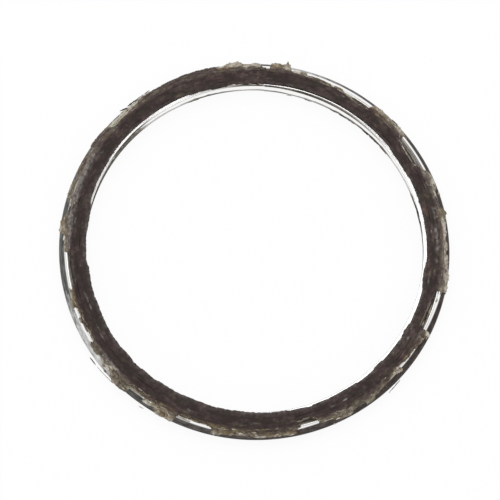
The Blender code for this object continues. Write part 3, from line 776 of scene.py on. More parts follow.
def steel_material(colours, sizes):
    """Make rolled steel: painted dark reflection round its apex and on the outer plies' edges, bright
    on its shoulders, darkened on its other edges.
    """
    material, tree, shader = new_material("rolled_steel")
    coordinates = add_node(tree, "ShaderNodeTexCoord")
    winding = coordinates.outputs["UV"]
    axes = add_node(tree, "ShaderNodeSeparateXYZ")
    tree.links.new(coordinates.outputs["Object"], axes.inputs[0])
    height = add_math(tree, "SUBTRACT", axes.outputs["Z"], MIDDLE)
    share = add_math(tree, "DIVIDE", add_math(tree, "ABSOLUTE", height), sizes.half_height)

    # The dark band round the apex is painted dark reflection: the base colour is dark wherever the
    # bright shoulder stops
    waver = add_sway(tree, add_streaks(tree, winding, 60.0, 900.0), 0.12)
    band = add_math(tree, "ADD", share, read_attribute(tree, "lean"))
    band = add_math(tree, "ADD", band, waver)
    clear = add_grey_ramp(tree, band, (0.66, 0.0), (0.76, 1.0))
    patches = add_sway(tree, add_streaks(tree, winding, 650.0, 1900.0, 5.0, 0.72), 1.5)
    darkened = add_math(tree, "ADD", read_attribute(tree, "dark_reflection"), patches)
    darkened = add_grey_ramp(tree, darkened, (0.1, 0.0), (0.85, 1.0))
    painted_dark = add_math(tree, "MULTIPLY", add_math(tree, "SUBTRACT", 1.0, clear), darkened)
    bright = add_math(tree, "SUBTRACT", 1.0, painted_dark)

    # Colour of that painted dark reflection: streaky, and bluer towards -X
    tint = add_streaks(tree, winding, 620.0, 2600.0, 4.0, 0.7)
    tones = ((0.32, 0.45), (0.5, 1.0), (0.68, 1.9))
    stops = [(position, tuple(tone * c for c in colours.dark_reflection)) for position, tone in tones]
    warm = add_ramp(tree, tint, stops)
    eastward = add_math(tree, "MULTIPLY", axes.outputs["X"], 12.0)
    cool = add_ramp(tree, add_math(tree, "SUBTRACT", 0.5, eastward), DARK_BAND_TINTS)
    dark_reflection = add_mix(tree, 1.0, warm, cool, "MULTIPLY")
    scratches = add_streaks(tree, winding, 90.0, 30000.0, 2.0)
    scratched = tuple(0.93 * c for c in colours.bright_steel)
    clean = add_mix(tree, scratches, scratched, tuple(colours.bright_steel))
    surface = add_mix(tree, bright, dark_reflection, clean)

    # Cut edges are darkened; on the outer plies this is painted dark reflection
    reach = add_math(tree, "ADD", share, read_attribute(tree, "darkening_reach"))
    rim = add_grey_ramp(tree, reach, (0.962, 0.0), (0.985, 1.0))
    edge_darkening = read_attribute(tree, "edge_darkening")
    edge = add_math(tree, "MULTIPLY", rim, add_math(tree, "MINIMUM", edge_darkening, 1.0))
    black = add_math(tree, "MAXIMUM", add_math(tree, "SUBTRACT", edge_darkening, 1.0), 0.0)
    smear = add_streaks(tree, winding, 220.0, 400.0, 4.0)
    edge_tone = add_mix(tree, black, add_ramp(tree, smear, EDGE_DARK_TONES), EDGE_DARKEST)
    tree.links.new(add_mix(tree, edge, surface, edge_tone), shader.inputs["Base Color"])

    shader.inputs["Metallic"].default_value = 1.0
    rough = add_math(tree, "SUBTRACT", 0.42, add_math(tree, "MULTIPLY", bright, 0.24))
    rough = add_math(tree, "ADD", rough, add_math(tree, "MULTIPLY", scratches, 0.12))
    rough = add_math(tree, "ADD", rough, add_math(tree, "MULTIPLY", edge, 0.25))
    tree.links.new(rough, shader.inputs["Roughness"])
    add_bump(tree, shader, scratches, 0.25, 0.00002)
    return material


def filler_material(name, colours, streaks, mottle, hue):
    """Make mineral filler whose colour follows its tone from dark face to pale tear.

    streaks says how strongly fine lines along the winding mark it, mottle how
    strongly patches do, and hue how far its colour drifts from place to place.
    """
    material, tree, shader = new_material(name)
    coordinates = add_node(tree, "ShaderNodeTexCoord")
    winding = coordinates.outputs["UV"]
    blots = add_noise(tree, coordinates.outputs["Object"], 1300.0, 4.0, 0.68)
    grain = add_noise(tree, coordinates.outputs["Object"], 6000.0, 3.0, 0.7)
    lines = add_streaks(tree, winding, 520.0, 6200.0, 4.0, 0.6)
    layers = (
        (add_streaks(tree, winding, 460.0, 1100.0, 5.0, 0.66), mottle),
        (blots, 0.55),
        (grain, 0.3),
        (lines, streaks),
    )
    total = read_attribute(tree, "tone")
    for layer, strength in layers:
        total = add_math(tree, "ADD", total, add_sway(tree, layer, strength))
    flecks = add_streaks(tree, winding, 640.0, 1900.0, 2.0, 0.5)
    flecks = add_grey_ramp(tree, flecks, (0.655, 0.0), (0.74, 1.0))
    total = add_math(tree, "ADD", total, add_math(tree, "MULTIPLY", flecks, 0.26))

    stops = (
        (0.0, tuple(0.62 * c for c in colours.face)),
        (0.16, tuple(colours.face)),
        (0.28, tuple(1.45 * c for c in colours.face)),
        (0.42, tuple(colours.olive)),
        (0.62, tuple(colours.tan)),
        (0.95, tuple(colours.pale)),
    )
    drift = add_streaks(tree, winding, 230.0, 900.0, 3.0, 0.6)
    tinted = add_mix(tree, hue, add_ramp(tree, total, stops), add_ramp(tree, drift, HUES), "MULTIPLY")
    slow = add_streaks(tree, winding, 70.0, 260.0, 2.0)
    slow = add_grey_ramp(tree, slow, (0.46, 0.0), (0.58, 1.0))
    torn = add_grey_ramp(tree, total, (0.22, 0.0), (0.42, 1.0), (0.55, 1.0), (0.72, 0.0))
    rusty = add_mix(tree, 1.0, tinted, RUSTY, "MULTIPLY")
    colour = add_mix(tree, add_math(tree, "MULTIPLY", slow, torn), tinted, rusty)

    mark_and_shade = read_attribute(tree, "mark_and_shade")
    broken = add_grey_ramp(tree, blots, (0.4, 0.25), (0.58, 1.3))
    light = add_math(tree, "MULTIPLY", add_math(tree, "MAXIMUM", mark_and_shade, 0.0), broken)
    # Dark marks take the dark tone; some of them are painted shade beneath the torn skirt
    dark = add_math(tree, "MINIMUM", add_math(tree, "MULTIPLY", mark_and_shade, -1.0), 1.0)
    colour = add_mix(tree, add_math(tree, "MINIMUM", light, 0.9), colour, SCUFF_LIGHT)
    colour = add_mix(tree, add_math(tree, "MAXIMUM", dark, 0.0), colour, DARK_MARK_AND_SHADE)
    tree.links.new(colour, shader.inputs["Base Color"])

    rough = add_math(tree, "ADD", 0.78, add_math(tree, "MULTIPLY", grain, 0.25))
    tree.links.new(rough, shader.inputs["Roughness"])
    shader.inputs["Specular IOR Level"].default_value = 0.25
    relief = add_math(tree, "ADD", add_math(tree, "MULTIPLY", grain, 0.6), lines)
    add_bump(tree, shader, relief, 0.7, 0.00006)
    return material


def steel_darkening(turns, clock, loop_heights):
    """Give how dark each cut edge and the apex of the steel are painted, as named numbers.

    edge_darkening is how dark a cut edge is, painted dark reflection on the outer
    plies, darkening_reach how far that reaches from it as a share of the half height,
    dark_reflection how dark the painted reflection round the apex is, and lean how
    much nearer the apex the bright shoulder begins.
    """
    turn = np.floor(turns)
    above = loop_heights > 0.0
    last = turns > STEEL_TURNS - 1.0
    first_darkening = round_the_clock(clock, FIRST_PLY_DARKENING)
    second_darkening = round_the_clock(clock, SECOND_PLY_DARKENING)
    outer_reflection = round_the_clock(clock, OUTER_DARK_REFLECTION) + 0.12 * rough_noise(clock / 3.0, turn, 29)
    inner_turns = (turn < 1, turn < 2, turn < 3)
    upper = np.select(inner_turns, (first_darkening, second_darkening, 0.05), outer_reflection)
    upper = upper * np.where(last, round_the_clock(clock, OUTERMOST_REFLECTION_SHARE), 1.0)
    lower = np.where(turn < 1, round_the_clock(clock, LOWER_EDGE_DARKENING), 0.9)
    spread = round_the_clock(clock, LOWER_EDGE_DARKENING, 2)
    spread = spread * (0.8 + 0.7 * rough_noise(clock / 1.6, 0.0, 23))
    outer = above & (turn >= OUTER_TURN)
    kinds = (~above & (turn < 1), outer & ~last, outer, above & (turn < 2))
    values = {
        "edge_darkening": np.where(above, upper, lower),
        "darkening_reach": np.select(kinds, (spread, 0.08, 0.05, 0.035), 0.012),
        "dark_reflection": np.where(turns > OUTER_TURN, round_the_clock(clock, DARK_REFLECTION_SHARE), 1.0),
        "lean": round_the_clock(clock, BRIGHT_LEAN),
    }
    return {key: value[None] for key, value in values.items()}


def wind_steel(sizes, material):
    """Wind the steel strip.

    Formula: a point is the winding's radius plus the chevron's depth at its
    height. The section goes up the inner side and down the outer side, and thins
    towards the strip's two ends. The radius and the edges' heights waver by a
    few hundredths of a millimetre, each turn in its own way.
    """
    turns = np.linspace(0.0, STEEL_TURNS, round(STEEL_TURNS * STEEL_STEPS) + 1)
    turns = np.sort(np.append(turns, (END_STEP, STEEL_TURNS - END_STEP)))
    clock = clock_of(turns)
    spacing = np.linspace(0.0, 1.0, STEEL_SIDE_STEPS + 1)
    half = sizes.half_height * (1.0 - (1.0 - spacing) ** 2)
    heights = np.concatenate((-half[:0:-1], half))
    loop_heights = np.concatenate((heights, heights[::-1]))
    outer = np.repeat((0.0, sizes.strip_thickness), len(heights))
    to_end = 2 * math.pi * sizes.bore_radius * np.minimum(turns, STEEL_TURNS - turns)[:, None]
    worn = END_WEAR * (1.0 - smooth_step(0.0, END_TAPER, to_end)) * sizes.strip_thickness
    first_half = (turns < STEEL_TURNS / 2)[:, None]
    thinned = np.minimum(outer, sizes.strip_thickness - worn)
    thickness = np.where(first_half, np.maximum(outer, worn), thinned)
    waver = 0.00001 * rough_noise(clock / 14.0, 0.0, 11)
    radius = (winding_radius(turns, sizes) + waver)[:, None]
    radius = radius + chevron_depth(loop_heights, sizes) + thickness
    rise = 0.00003 * rough_noise(turns * 40.0, 0.0, 17)[:, None]
    rise = rise * (loop_heights / sizes.half_height) ** 4
    points = place(clock[:, None], radius, loop_heights + rise * np.sign(loop_heights))
    arc = np.cumsum(np.concatenate(([0.0], np.diff(turns)))) * 2 * math.pi * sizes.bore_radius
    uv = pair(arc[:, None], loop_heights)
    values = steel_darkening(turns[:, None], clock[:, None], loop_heights)
    return skin("steel_winding", points[None], uv[None], values, material)


def seam_shift(turns, seed):
    """Give how far the seam between two filler turns wanders from its middle."""
    slow = 0.00007 * rough_noise(turns * 130.0, 0.0, seed)
    return slow + 0.00002 * rough_noise(turns * 900.0, 0.0, seed + 9)


def seam_margin(turns, seed):
    """Give how far a cap stops short of the seam, as a share of its width.

    Formula: the caps overlap a little, apart from stretches that noise picks,
    where a groove is left open.
    """
    open_share = smooth_step(0.2, 0.6, rough_noise(turns * 47.0, 0.0, seed + 21))
    return 0.11 * open_share - 0.03


def filler_edges(side, turns, base, sizes, seed):
    """Give the radii of the caps' inner and outer edges, and how far a tear pulls the last in.

    Formula: an edge stands past its web by the filler's spread and wanders with
    its seam. The first turn's inner edge follows INNER_LIP with rough noise, and
    the last turn's outer edge is pulled in where the tear's reach is below zero.
    """
    clock = clock_of(turns)
    seen = seen_from_camera(clock)
    inner_edge = base - sizes.filler_spread + seam_shift(turns - 1.0, seed)
    outer_edge = base + sizes.filler_thickness + sizes.filler_spread + seam_shift(turns, seed)
    lip = MM * round_the_clock(seen, INNER_LIP)
    ragged = 0.00008 * rough_noise(clock / 2.4, 0.0, seed + 3)
    ragged = ragged + 0.00009 * rough_noise(clock / 0.6, 0.0, seed + 5)
    first = (turns < INNER_BARE_TURNS + 1.0).astype(float)
    inner_edge = inner_edge + first * (lip + ragged - inner_edge)
    torn_back = np.minimum(MM * round_the_clock(seen, TEARS[side]) - TORN_MARGIN, 0.0)
    torn_back = torn_back - sizes.filler_spread * smooth_step(0.0, -0.0002, torn_back)
    outer_edge = outer_edge + np.where(turns > TORN_TURN, torn_back, 0.0)
    return inner_edge, np.maximum(outer_edge, inner_edge + LEAST_CAP), torn_back


def face_looks(side, turns, radius, edges, seed):
    """Give the tone and the scuffs on the filler's face, as named numbers.

    Formula: the tone is patches and streaks of noise, browner towards the rim, a
    little darker towards a clock angle of 150, and uneven along the inner lip.
    The scuffs are those of MARKS_AND_SHADE, the rim of a tear, and dust that fades from
    The marks are those of MARKS_AND_SHADE, with its painted shade, the rim of a
    tear, and dust that fades from the inner lip and is thickest towards a clock angle of 100.
    """
    inner_edge, outer_edge, torn_back = (edge[:, None] for edge in edges)
    turns = turns[:, None]
    clock = clock_of(turns)
    angle = np.radians(clock)
    arc = 2 * math.pi * FACE_RADIUS * (turns % 1.0)
    first = (turns < INNER_BARE_TURNS + 1.0).astype(float)
    patches = level_noise(angle, radius, 0.0022, seed + 51, 4)
    streaks = rough_noise(arc / 0.0016, radius / 0.0003, seed + 57)
    browned = smooth_step(0.0357, 0.0369, radius)
    tone = 0.1 + 0.17 * patches + 0.09 * streaks
    tone = tone + browned * (0.03 + 0.16 * np.maximum(patches, 0.0))
    tone = tone - 0.05 * np.maximum(np.cos(angle - math.radians(150.0)), 0.0)
    crumbled = smooth_step(0.0009, 0.0002, radius - inner_edge) * first
    tone = tone + 0.1 * crumbled * rough_noise(arc / 0.002, 0.0, seed + 61)

    mark_and_shade = mark_and_shade_strength(seen_from_camera(clock), radius) if side > 0 else 0.0 * radius
    torn_rim = np.exp(-(((outer_edge - radius) / 0.00016) ** 2)) * (turns > TORN_TURN)
    torn_rim = torn_rim * smooth_step(-0.0001, -0.0004, torn_back)
    mark_and_shade = mark_and_shade + 0.75 * torn_rim * (0.7 + 0.5 * rough_noise(clock / 0.8, 0.0, seed + 67))
    dusted = np.exp(-np.maximum(radius - inner_edge, 0.0) / 0.0004) * first
    dusted = dusted * np.clip(0.65 + 0.6 * np.cos(angle - math.radians(100.0)), 0.2, 1.0)
    broken = 1.0 + 0.6 * rough_noise(arc / 0.0012, radius / 0.0002, seed + 73)
    return {"tone": tone[None], "mark_and_shade": (mark_and_shade + 0.36 * dusted * broken)[None]}


def press_filler(side, sizes, material, seed):
    """Make one half of the wound filler, from the middle plane to its pressed face.

    Formula: the web follows the steel up to its edge, and the cap spreads past
    the web on both sides. The cap's top is the proud height less a small drop,
    with rough lumps and pits, and its sides bulge by a share of its width.
    """
    steps = round((FILLER_END_TURN - INNER_BARE_TURNS) * FILLER_STEPS)
    turns = np.linspace(INNER_BARE_TURNS, FILLER_END_TURN, steps + 1)
    base = winding_radius(turns, sizes) + sizes.strip_thickness + sizes.ply_gap
    edges = filler_edges(side, turns, base, sizes, seed)
    inside_web = shoulder_height(edges[0] - base, sizes)
    contact = np.where(edges[0] > base, inside_web, sizes.half_height)
    parts = (base, contact, edges[0], edges[1], clock_of(turns))
    base, contact, inner_edge, outer_edge, clock = (part[:, None] for part in parts)
    shares = np.array(WEB_SHARES)
    inner_heights = contact * shares
    outer_heights = np.broadcast_to(sizes.half_height * shares[::-1], (len(turns), len(shares)))
    outer_side = base + sizes.filler_thickness

    first = turns < INNER_BARE_TURNS + 1.0
    inner_margin = np.where(first, LIP_MARGIN, seam_margin(turns - 1.0, seed))[:, None]
    outer_margin = np.where(turns > TORN_TURN, LIP_MARGIN, seam_margin(turns, seed))[:, None]
    across = inner_margin + (1.0 - inner_margin - outer_margin) * np.array(CAP_SHARES)
    width = outer_edge - inner_edge
    cap_radius = inner_edge + width * across
    lumps = level_noise(np.radians(clock), cap_radius, 0.0008, seed + 31, 4)
    pits = level_noise(np.radians(clock), cap_radius, 0.0003, seed + 41, 2)
    cap_heights = PROUD - FACE_DROP + sizes.relief * (0.75 * lumps + 0.3 * pits)
    cap_heights = np.minimum(cap_heights, PROUD)
    lip_height = np.maximum(contact + CLEAR, sizes.half_height * 0.2)
    rim_height = np.full((len(turns), 1), sizes.half_height + CLEAR)
    columns = (
        (base + chevron_depth(inner_heights, sizes), inner_heights),
        (inner_edge + BULGE * width, lip_height),
        (inner_edge - BULGE * width, (lip_height + cap_heights[:, :1]) / 2),
        (cap_radius, cap_heights),
        (outer_edge + BULGE * width, (sizes.half_height + cap_heights[:, -1:]) / 2),
        (outer_edge - BULGE * width, rim_height),
        (outer_side + chevron_depth(outer_heights, sizes), outer_heights),
    )
    radius, heights = (np.concatenate(part, axis=1) for part in zip(*columns))
    points = place(clock, radius, side * heights)
    uv = pair(2 * math.pi * FACE_RADIUS * (turns % 1.0)[:, None], radius)
    values = face_looks(side, turns, radius, edges, seed)
    name = "filler_face_" + SIDE_NAMES[side]
    return skin(name, points[None], uv[None], values, material, flip=side < 0)


def mark_and_shade_strength(clock, radius):
    """Give how strongly the upper face is marked at a place, painted shade included.

    Formula: the sum of one bell curve for each row of MARKS_AND_SHADE, as long and
    wide as the row says and broken up by noise.
    """
    broken = 0.75 + 0.9 * rough_noise(clock / 0.4, radius / 0.00018, 71)
    total = 0.0 * radius
    for middle, distance, length, width, strength in MARKS_AND_SHADE:
        along = ((clock - middle + 180.0) % 360.0 - 180.0) / length
        across = (radius - MM * distance) / (MM * width)
        total = total + strength * np.exp(-(along**2) - across**2)
    return total * broken


def outer_plies(turns, sizes):
    """Give the skirt's root radius and the width of the bare outer plies beside it."""
    root = winding_radius(turns + 1.0, sizes) - sizes.ply_gap
    most = TURN_COUNT - OUTER_TURN
    plies = np.where(turns + most <= STEEL_TURNS, most, most - 1)
    last = winding_radius(turns + plies, sizes) + sizes.strip_thickness
    return root, last - root


def skirt_path(across, width, sizes):
    """Give the steel's upper height at a distance across from the filler's side.

    Formula: level over the plies' edges, then down the chevron's shoulder.
    """
    return shoulder_height(np.clip(across - width, 0.0, sizes.apex_depth), sizes)


def skirt_thickness(across, sizes):
    """Give a skirt's thickness at a distance across from the filler's side.

    Formula: a thin sheet, plus what the filler stands proud of the steel, less
    one and a half sheets, times a falling exponential of the distance.
    """
    rise = PROUD - sizes.half_height - 1.5 * SHEET
    return SHEET + rise * np.exp(-np.maximum(across, 0.0) / 0.00042)


def hang_skirt(side, layer, sizes, material, seed):
    """Hang one layer of torn filler from the last turn over the outer plies.

    Formula: the underside follows the steel, and in the second layer the first
    one. The top is thick at the root, thins by a falling exponential, and closes
    at the torn edge. The edge's reach is the table's with rough noise on it, and
    a wandering share of that in the second layer. Where the reach is below zero,
    the root is tucked in behind it.
    """
    turns = np.linspace(TORN_TURN, TORN_TURN + 1.0, SKIRT_STEPS[side] + 1)
    clock = clock_of(turns)
    seen = seen_from_camera(clock) if side > 0 else clock
    root, width = outer_plies(turns, sizes)
    reach = MM * round_the_clock(seen, TEARS[side])
    spikes = np.abs(rough_noise(clock / 0.45, 0.0, seed + 7))
    fray = 0.00012 * rough_noise(clock / 1.3, 0.0, seed) - 0.00016 * spikes + 0.00003
    reach = reach + fray * smooth_step(-0.0002, 0.0006, reach)
    tuck = 0.00005 + 0.00045 * smooth_step(FILLER_END_TURN - 0.02, FILLER_END_TURN, turns)
    start = (np.minimum(reach - TORN_MARGIN, 0.0) - tuck)[:, None]
    if layer:
        cover = 0.62 + 0.5 * rough_noise(clock / 4.5, 0.0, seed + 3)
        reach = np.where(reach > 0.0, np.clip(cover, 0.2, 0.93) * reach, reach)
        start = np.minimum(0.0, reach - 0.0002)[:, None]
    reach = reach[:, None]
    tip_tone = round_the_clock(seen, TEARS[side], 2)[:, None] - 0.1 * layer
    shares = np.linspace(0.0, 1.0, SKIRT_RIBS) ** 0.8
    across = start + (reach - start) * shares
    steel = skirt_path(across, width[:, None], sizes)
    arc = np.radians(clock)[:, None] * (root[:, None] + across)
    lumps = rough_noise(arc / 0.0006, across / 0.0004, seed + 13, 4)
    sheet = skirt_thickness(across, sizes)
    closing = np.sqrt(np.clip(1.0 - shares**4, 0.0, 1.0))
    loose = 0.5 + 0.5 * rough_noise(clock / 1.7, 0.0, seed + 19)[:, None]
    lift = CLEAR + 0.00009 * loose * shares**2
    underside = steel + lift + (0.8 * sheet if layer else 0.0)
    thickness = (FRAYED_SHEET if layer else sheet) * (1.0 + 0.5 * lumps)
    ceiling = PROUD - 2 * LEAST_SHEET + LEAST_SHEET * layer
    top = np.minimum(underside + thickness * closing + LEAST_SHEET, ceiling)
    below = np.minimum(underside, top - LEAST_SHEET)
    radius = there_and_back(root[:, None] + across, root[:, None] + across)
    points = place(clock[:, None], radius, side * there_and_back(below, top))
    inside = there_and_back(across, across)
    flat = pair(2 * math.pi * SKIRT_RADIUS * (turns - TORN_TURN)[:, None], inside)
    tone = skirt_tone(clock[:, None], inside, reach, tip_tone, seed)
    mark_and_shade = mark_and_shade_strength(seen[:, None], radius) if side > 0 else 0.0 * radius
    values = {"tone": tone[None], "mark_and_shade": mark_and_shade[None]}
    name = ("frayed_layer_" if layer else "torn_skirt_") + SIDE_NAMES[side]
    return skin(name, points[None], flat[None], values, material, flip=side > 0)


def skirt_tone(clock, across, reach, tip_tone, seed):
    """Give a skirt's tone at a distance across, for a torn edge at a reach.

    Formula: the face's tone turns brown over the plies and then goes halfway to
    the tip's tone down the shoulder. In patches the last quarter of a
    millimetre before the torn edge takes the whole tip's tone.
    """
    wander = 0.00022 * rough_noise(clock / 1.6, 0.0, seed + 23)
    brown = smooth_step(-0.00005, 0.00065, across + wander)
    body_end = 0.1 + 0.7 * tip_tone
    tone = 0.13 + 0.2 * brown + (body_end - 0.33) * smooth_step(0.0007, 0.0015, across + wander)
    tone = tone + 0.24 * brown * rough_noise(clock / 1.4, across / 0.00026, seed + 29, 4)
    patches = smooth_step(-0.5, 0.35, rough_noise(clock / 1.2, 0.0, seed + 37))
    edge = smooth_step(0.0003, 0.00005, reach - across) * patches
    return tone + (tip_tone + 0.15 - tone) * edge


def flake_sheets(name, rows, steps, sizes, material, seed):
    """Lay torn flakes on the upper skirts and the steel.

    rows are (first clock, last clock, nearest reach, farthest reach, tone,
    lift). Formula: a flake swells from its ends as a power of a sine that leans
    to one end, with rough noise on both edges. It rests on what lies below and
    rises with the square of the way to its tip, and its thickness closes at
    both edges. Its tone starts from the skirt's and reaches its own halfway.
    """
    rows = np.array(rows)[:, :, None, None]
    first, last, near, far, tone, lift = (rows[:, column] for column in range(6))
    number = np.arange(len(rows))[:, None, None]
    along = np.linspace(0.0, 1.0, steps)[None, :, None]
    share = np.linspace(0.0, 1.0, FLAKE_RIBS)[None, None, :]
    seen = first + (last - first) * along
    clock = seen + SLANT_SHIFT * np.cos(np.radians(seen))
    root, width = outer_plies(torn_turn_at(clock), sizes)
    lean = 1.0 + 0.45 * rough_noise(number * 3.3, 0.0, seed + 1)
    swell = np.sin(np.pi * (0.015 + 0.97 * along**lean)) ** 0.5
    length = (last - first) * 1.1
    middle = 0.35 * near + 0.65 * far
    notch = rough_noise(along * length * 1.7, number * 3.7, seed, 4)
    bite = rough_noise(along * length * 1.9, number * 5.1, seed + 3, 4)
    inner = middle - (middle - near) * swell * (1.0 + 0.45 * bite)
    outer = middle + (far - middle) * swell * (1.0 + 0.6 * notch)
    across = MM * (inner + (outer - inner) * share)
    ground = skirt_path(across, width, sizes)
    hanging = smooth_step(-0.00005, 0.00015, MM * round_the_clock(seen, UPPER_TEAR) - across)
    ground = ground + hanging * skirt_thickness(across, sizes)
    curl = MM * lift * share**2 * (0.6 + 0.5 * notch) + MM * 0.03
    rough = 0.00004 * rough_noise(along * length * 2.0, share * 4.0 + number * 2.3, seed + 5)
    closing = np.sqrt(np.clip(1.0 - (2.0 * share - 1.0) ** 2, 0.0, 1.0))
    thickness = SHEET / 2 * closing * swell
    top = np.minimum(ground + curl + rough + thickness, PROUD + CLEAR + MM * 0.6 * lift)
    below = np.minimum(ground + curl + rough - thickness, top - 0.000005)
    radius = there_and_back(root + across, root + across)
    points = place(clock, radius, there_and_back(below, top))
    flat = pair(np.radians(clock) * SKIRT_RADIUS, radius - root)
    under = np.minimum(tone, 0.36 + 0.3 * smooth_step(0.6, 0.85, tone))
    value = under + (tone - under) * smooth_step(0.0, 0.6, share) * (0.4 + 0.6 * swell)
    value = value + 0.08 * share**4
    value = value + 0.16 * rough_noise(along * length * 1.3, share * 3.0 + number * 1.9, seed + 11)
    tones = {"tone": there_and_back(value, value)}
    return skin(name, points, flat, tones, material, flip=True)


def strand_tubes(name, rows, sizes, material, seed):
    """Lay loose strands and slivers along the ring.

    rows are as in STRANDS. Formula: a strand goes straight from its first reach
    and height to its last, bowed by a sine and shaken by noise. Its section is
    an ellipse, wide along the radius, that shrinks towards both ends.
    """
    rows = np.array(rows)[:, :, None, None]
    first, last, near, far, low, high, thick, tone = (rows[:, column] for column in range(8))
    number = np.arange(len(rows))[:, None, None]
    along = np.linspace(0.0, 1.0, STRAND_STEPS)[None, :, None]
    angle = np.linspace(0.0, 2 * math.pi, STRAND_SIDES, endpoint=False)[None, None, :]
    clock = first + (last - first) * along
    root, _ = outer_plies(torn_turn_at(clock), sizes)
    shake = rough_noise(along * (last - first) * 1.2, number * 4.1, seed)
    swell = 0.25 + 0.75 * np.sin(np.pi * (0.03 + 0.94 * along)) ** 0.5
    uneven = 1.0 + 0.5 * rough_noise(along * (last - first) * 2.1, number * 2.9, seed + 2)
    girth = 0.5 * thick * swell * uneven
    reach = near + (far - near) * along + 0.05 * shake + girth * np.cos(angle)
    height = low + (high - low) * along + 0.04 * shake + 0.6 * girth * np.sin(angle)
    points = place(clock, root + MM * reach, MM * height)
    flat = pair(np.radians(clock) * SKIRT_RADIUS, MM * girth * angle)
    value = tone + 0.2 * rough_noise(along * (last - first) * 1.5, angle + number * 1.7, seed + 4)
    return skin(name, points, flat, {"tone": value}, material, flip=True)


def chip_rows(count, seed):
    """Scatter rows for small torn chips over the skirts, up to their torn edges."""
    random = np.random.default_rng(seed)
    clock = random.uniform(0.0, 360.0, count)
    reach = round_the_clock(clock, UPPER_TEAR)
    tone = round_the_clock(clock, UPPER_TEAR, 2)
    length = random.uniform(0.4, 2.2, count)
    depth = random.uniform(0.08, 0.3, count)
    tip = np.maximum(reach * random.uniform(0.3, 1.02, count), depth)
    tip = np.where(reach > 0.15, tip, reach + 0.02)
    lift = random.uniform(0.0, 0.2, count) * smooth_step(0.3, 1.0, reach)
    inwards = np.clip(1.0 - tip / np.maximum(reach, 0.3), 0.0, 1.0)
    tone = np.clip(tone * (1.0 - 0.6 * inwards) + random.normal(0.0, 0.19, count), 0.18, 0.98)
    return np.stack((clock, clock + length, tip - depth, tip, tone, lift), axis=1)


class RING_OT_wind_steel(bpy.types.Operator):
    """Wind the steel strip with its bright shoulders and painted dark reflection round its apex"""

    bl_idname = "ring.wind_steel"
    bl_label = "Wind Steel"

    def execute(self, context):
        material = steel_material(context.scene.ring_colours, context.scene.ring_sizes)
        strip = wind_steel(context.scene.ring_sizes, material)
        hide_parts("steel_strip")
        return {"FINISHED"}


class RING_OT_press_filler(bpy.types.Operator):
    """Press the wound filler into its two rough faces"""

    bl_idname = "ring.press_filler"
    bl_label = "Press Filler"

    def execute(self, context):
        colours = context.scene.ring_colours
        material = filler_material("pressed_filler", colours, streaks=0.2, mottle=0.95, hue=1.0)
        for side in (1, -1):
            half = press_filler(side, context.scene.ring_sizes, material, FILLER_SEEDS[side])
            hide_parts("filler_strip")
        return {"FINISHED"}


class RING_OT_hang_skirts(bpy.types.Operator):
    """Hang the torn skirts of filler over the outer turns"""

    bl_idname = "ring.hang_skirts"
    bl_label = "Hang Skirts"

    def execute(self, context):
        sizes = context.scene.ring_sizes
        colours = context.scene.ring_colours
        material = filler_material("torn_filler", colours, streaks=0.14, mottle=0.6, hue=0.5)
        for side in (1, -1):
            for layer in (0, 1):
                seed = SKIRT_SEEDS[side] + LAYER_SEED * layer
                skirt = hang_skirt(side, layer, sizes, material, seed)
        return {"FINISHED"}


class RING_OT_lay_flakes(bpy.types.Operator):
    """Lay torn flakes and chips on the skirts and the bare steel"""

    bl_idname = "ring.lay_flakes"
    bl_label = "Lay Flakes"

    def execute(self, context):
        sizes = context.scene.ring_sizes
        colours = context.scene.ring_colours
        material = filler_material("frayed_flakes", colours, streaks=0.12, mottle=0.55, hue=0.4)
        rows = UPPER_FLAKES
        flakes = flake_sheets("torn_flakes", rows, FLAKE_STEPS, sizes, material, FLAKE_SEED)
        rows = chip_rows(CHIP_COUNT, SCATTER_SEED)
        chips = flake_sheets("torn_chips", rows, CHIP_STEPS, sizes, material, CHIP_SEED)
        strands = strand_tubes("torn_strands", STRANDS, sizes, material, STRAND_SEED)
        return {"FINISHED"}


class RING_OT_set_stage(bpy.types.Operator):
    """Set the floor, the lamps, the world and the camera"""

    bl_idname = "ring.set_stage"
    bl_label = "Set Stage"

    def execute(self, context):
        settings = context.scene.ring_stage
        lay_floor()
        hang_lamp(settings)
        light_world(settings)
        aim_camera(settings)
        context.scene.view_settings.view_transform = "Standard"
        return {"FINISHED"}


def add_seen(tree):
    """Add nodes that give 1 to the camera and to reflections."""
    rays = add_node(tree, "ShaderNodeLightPath")
    seen = add_math(tree, "MAXIMUM", rays.outputs["Is Camera Ray"], rays.outputs["Is Glossy Ray"])
    return add_math(tree, "MAXIMUM", seen, rays.outputs["Is Transmission Ray"])


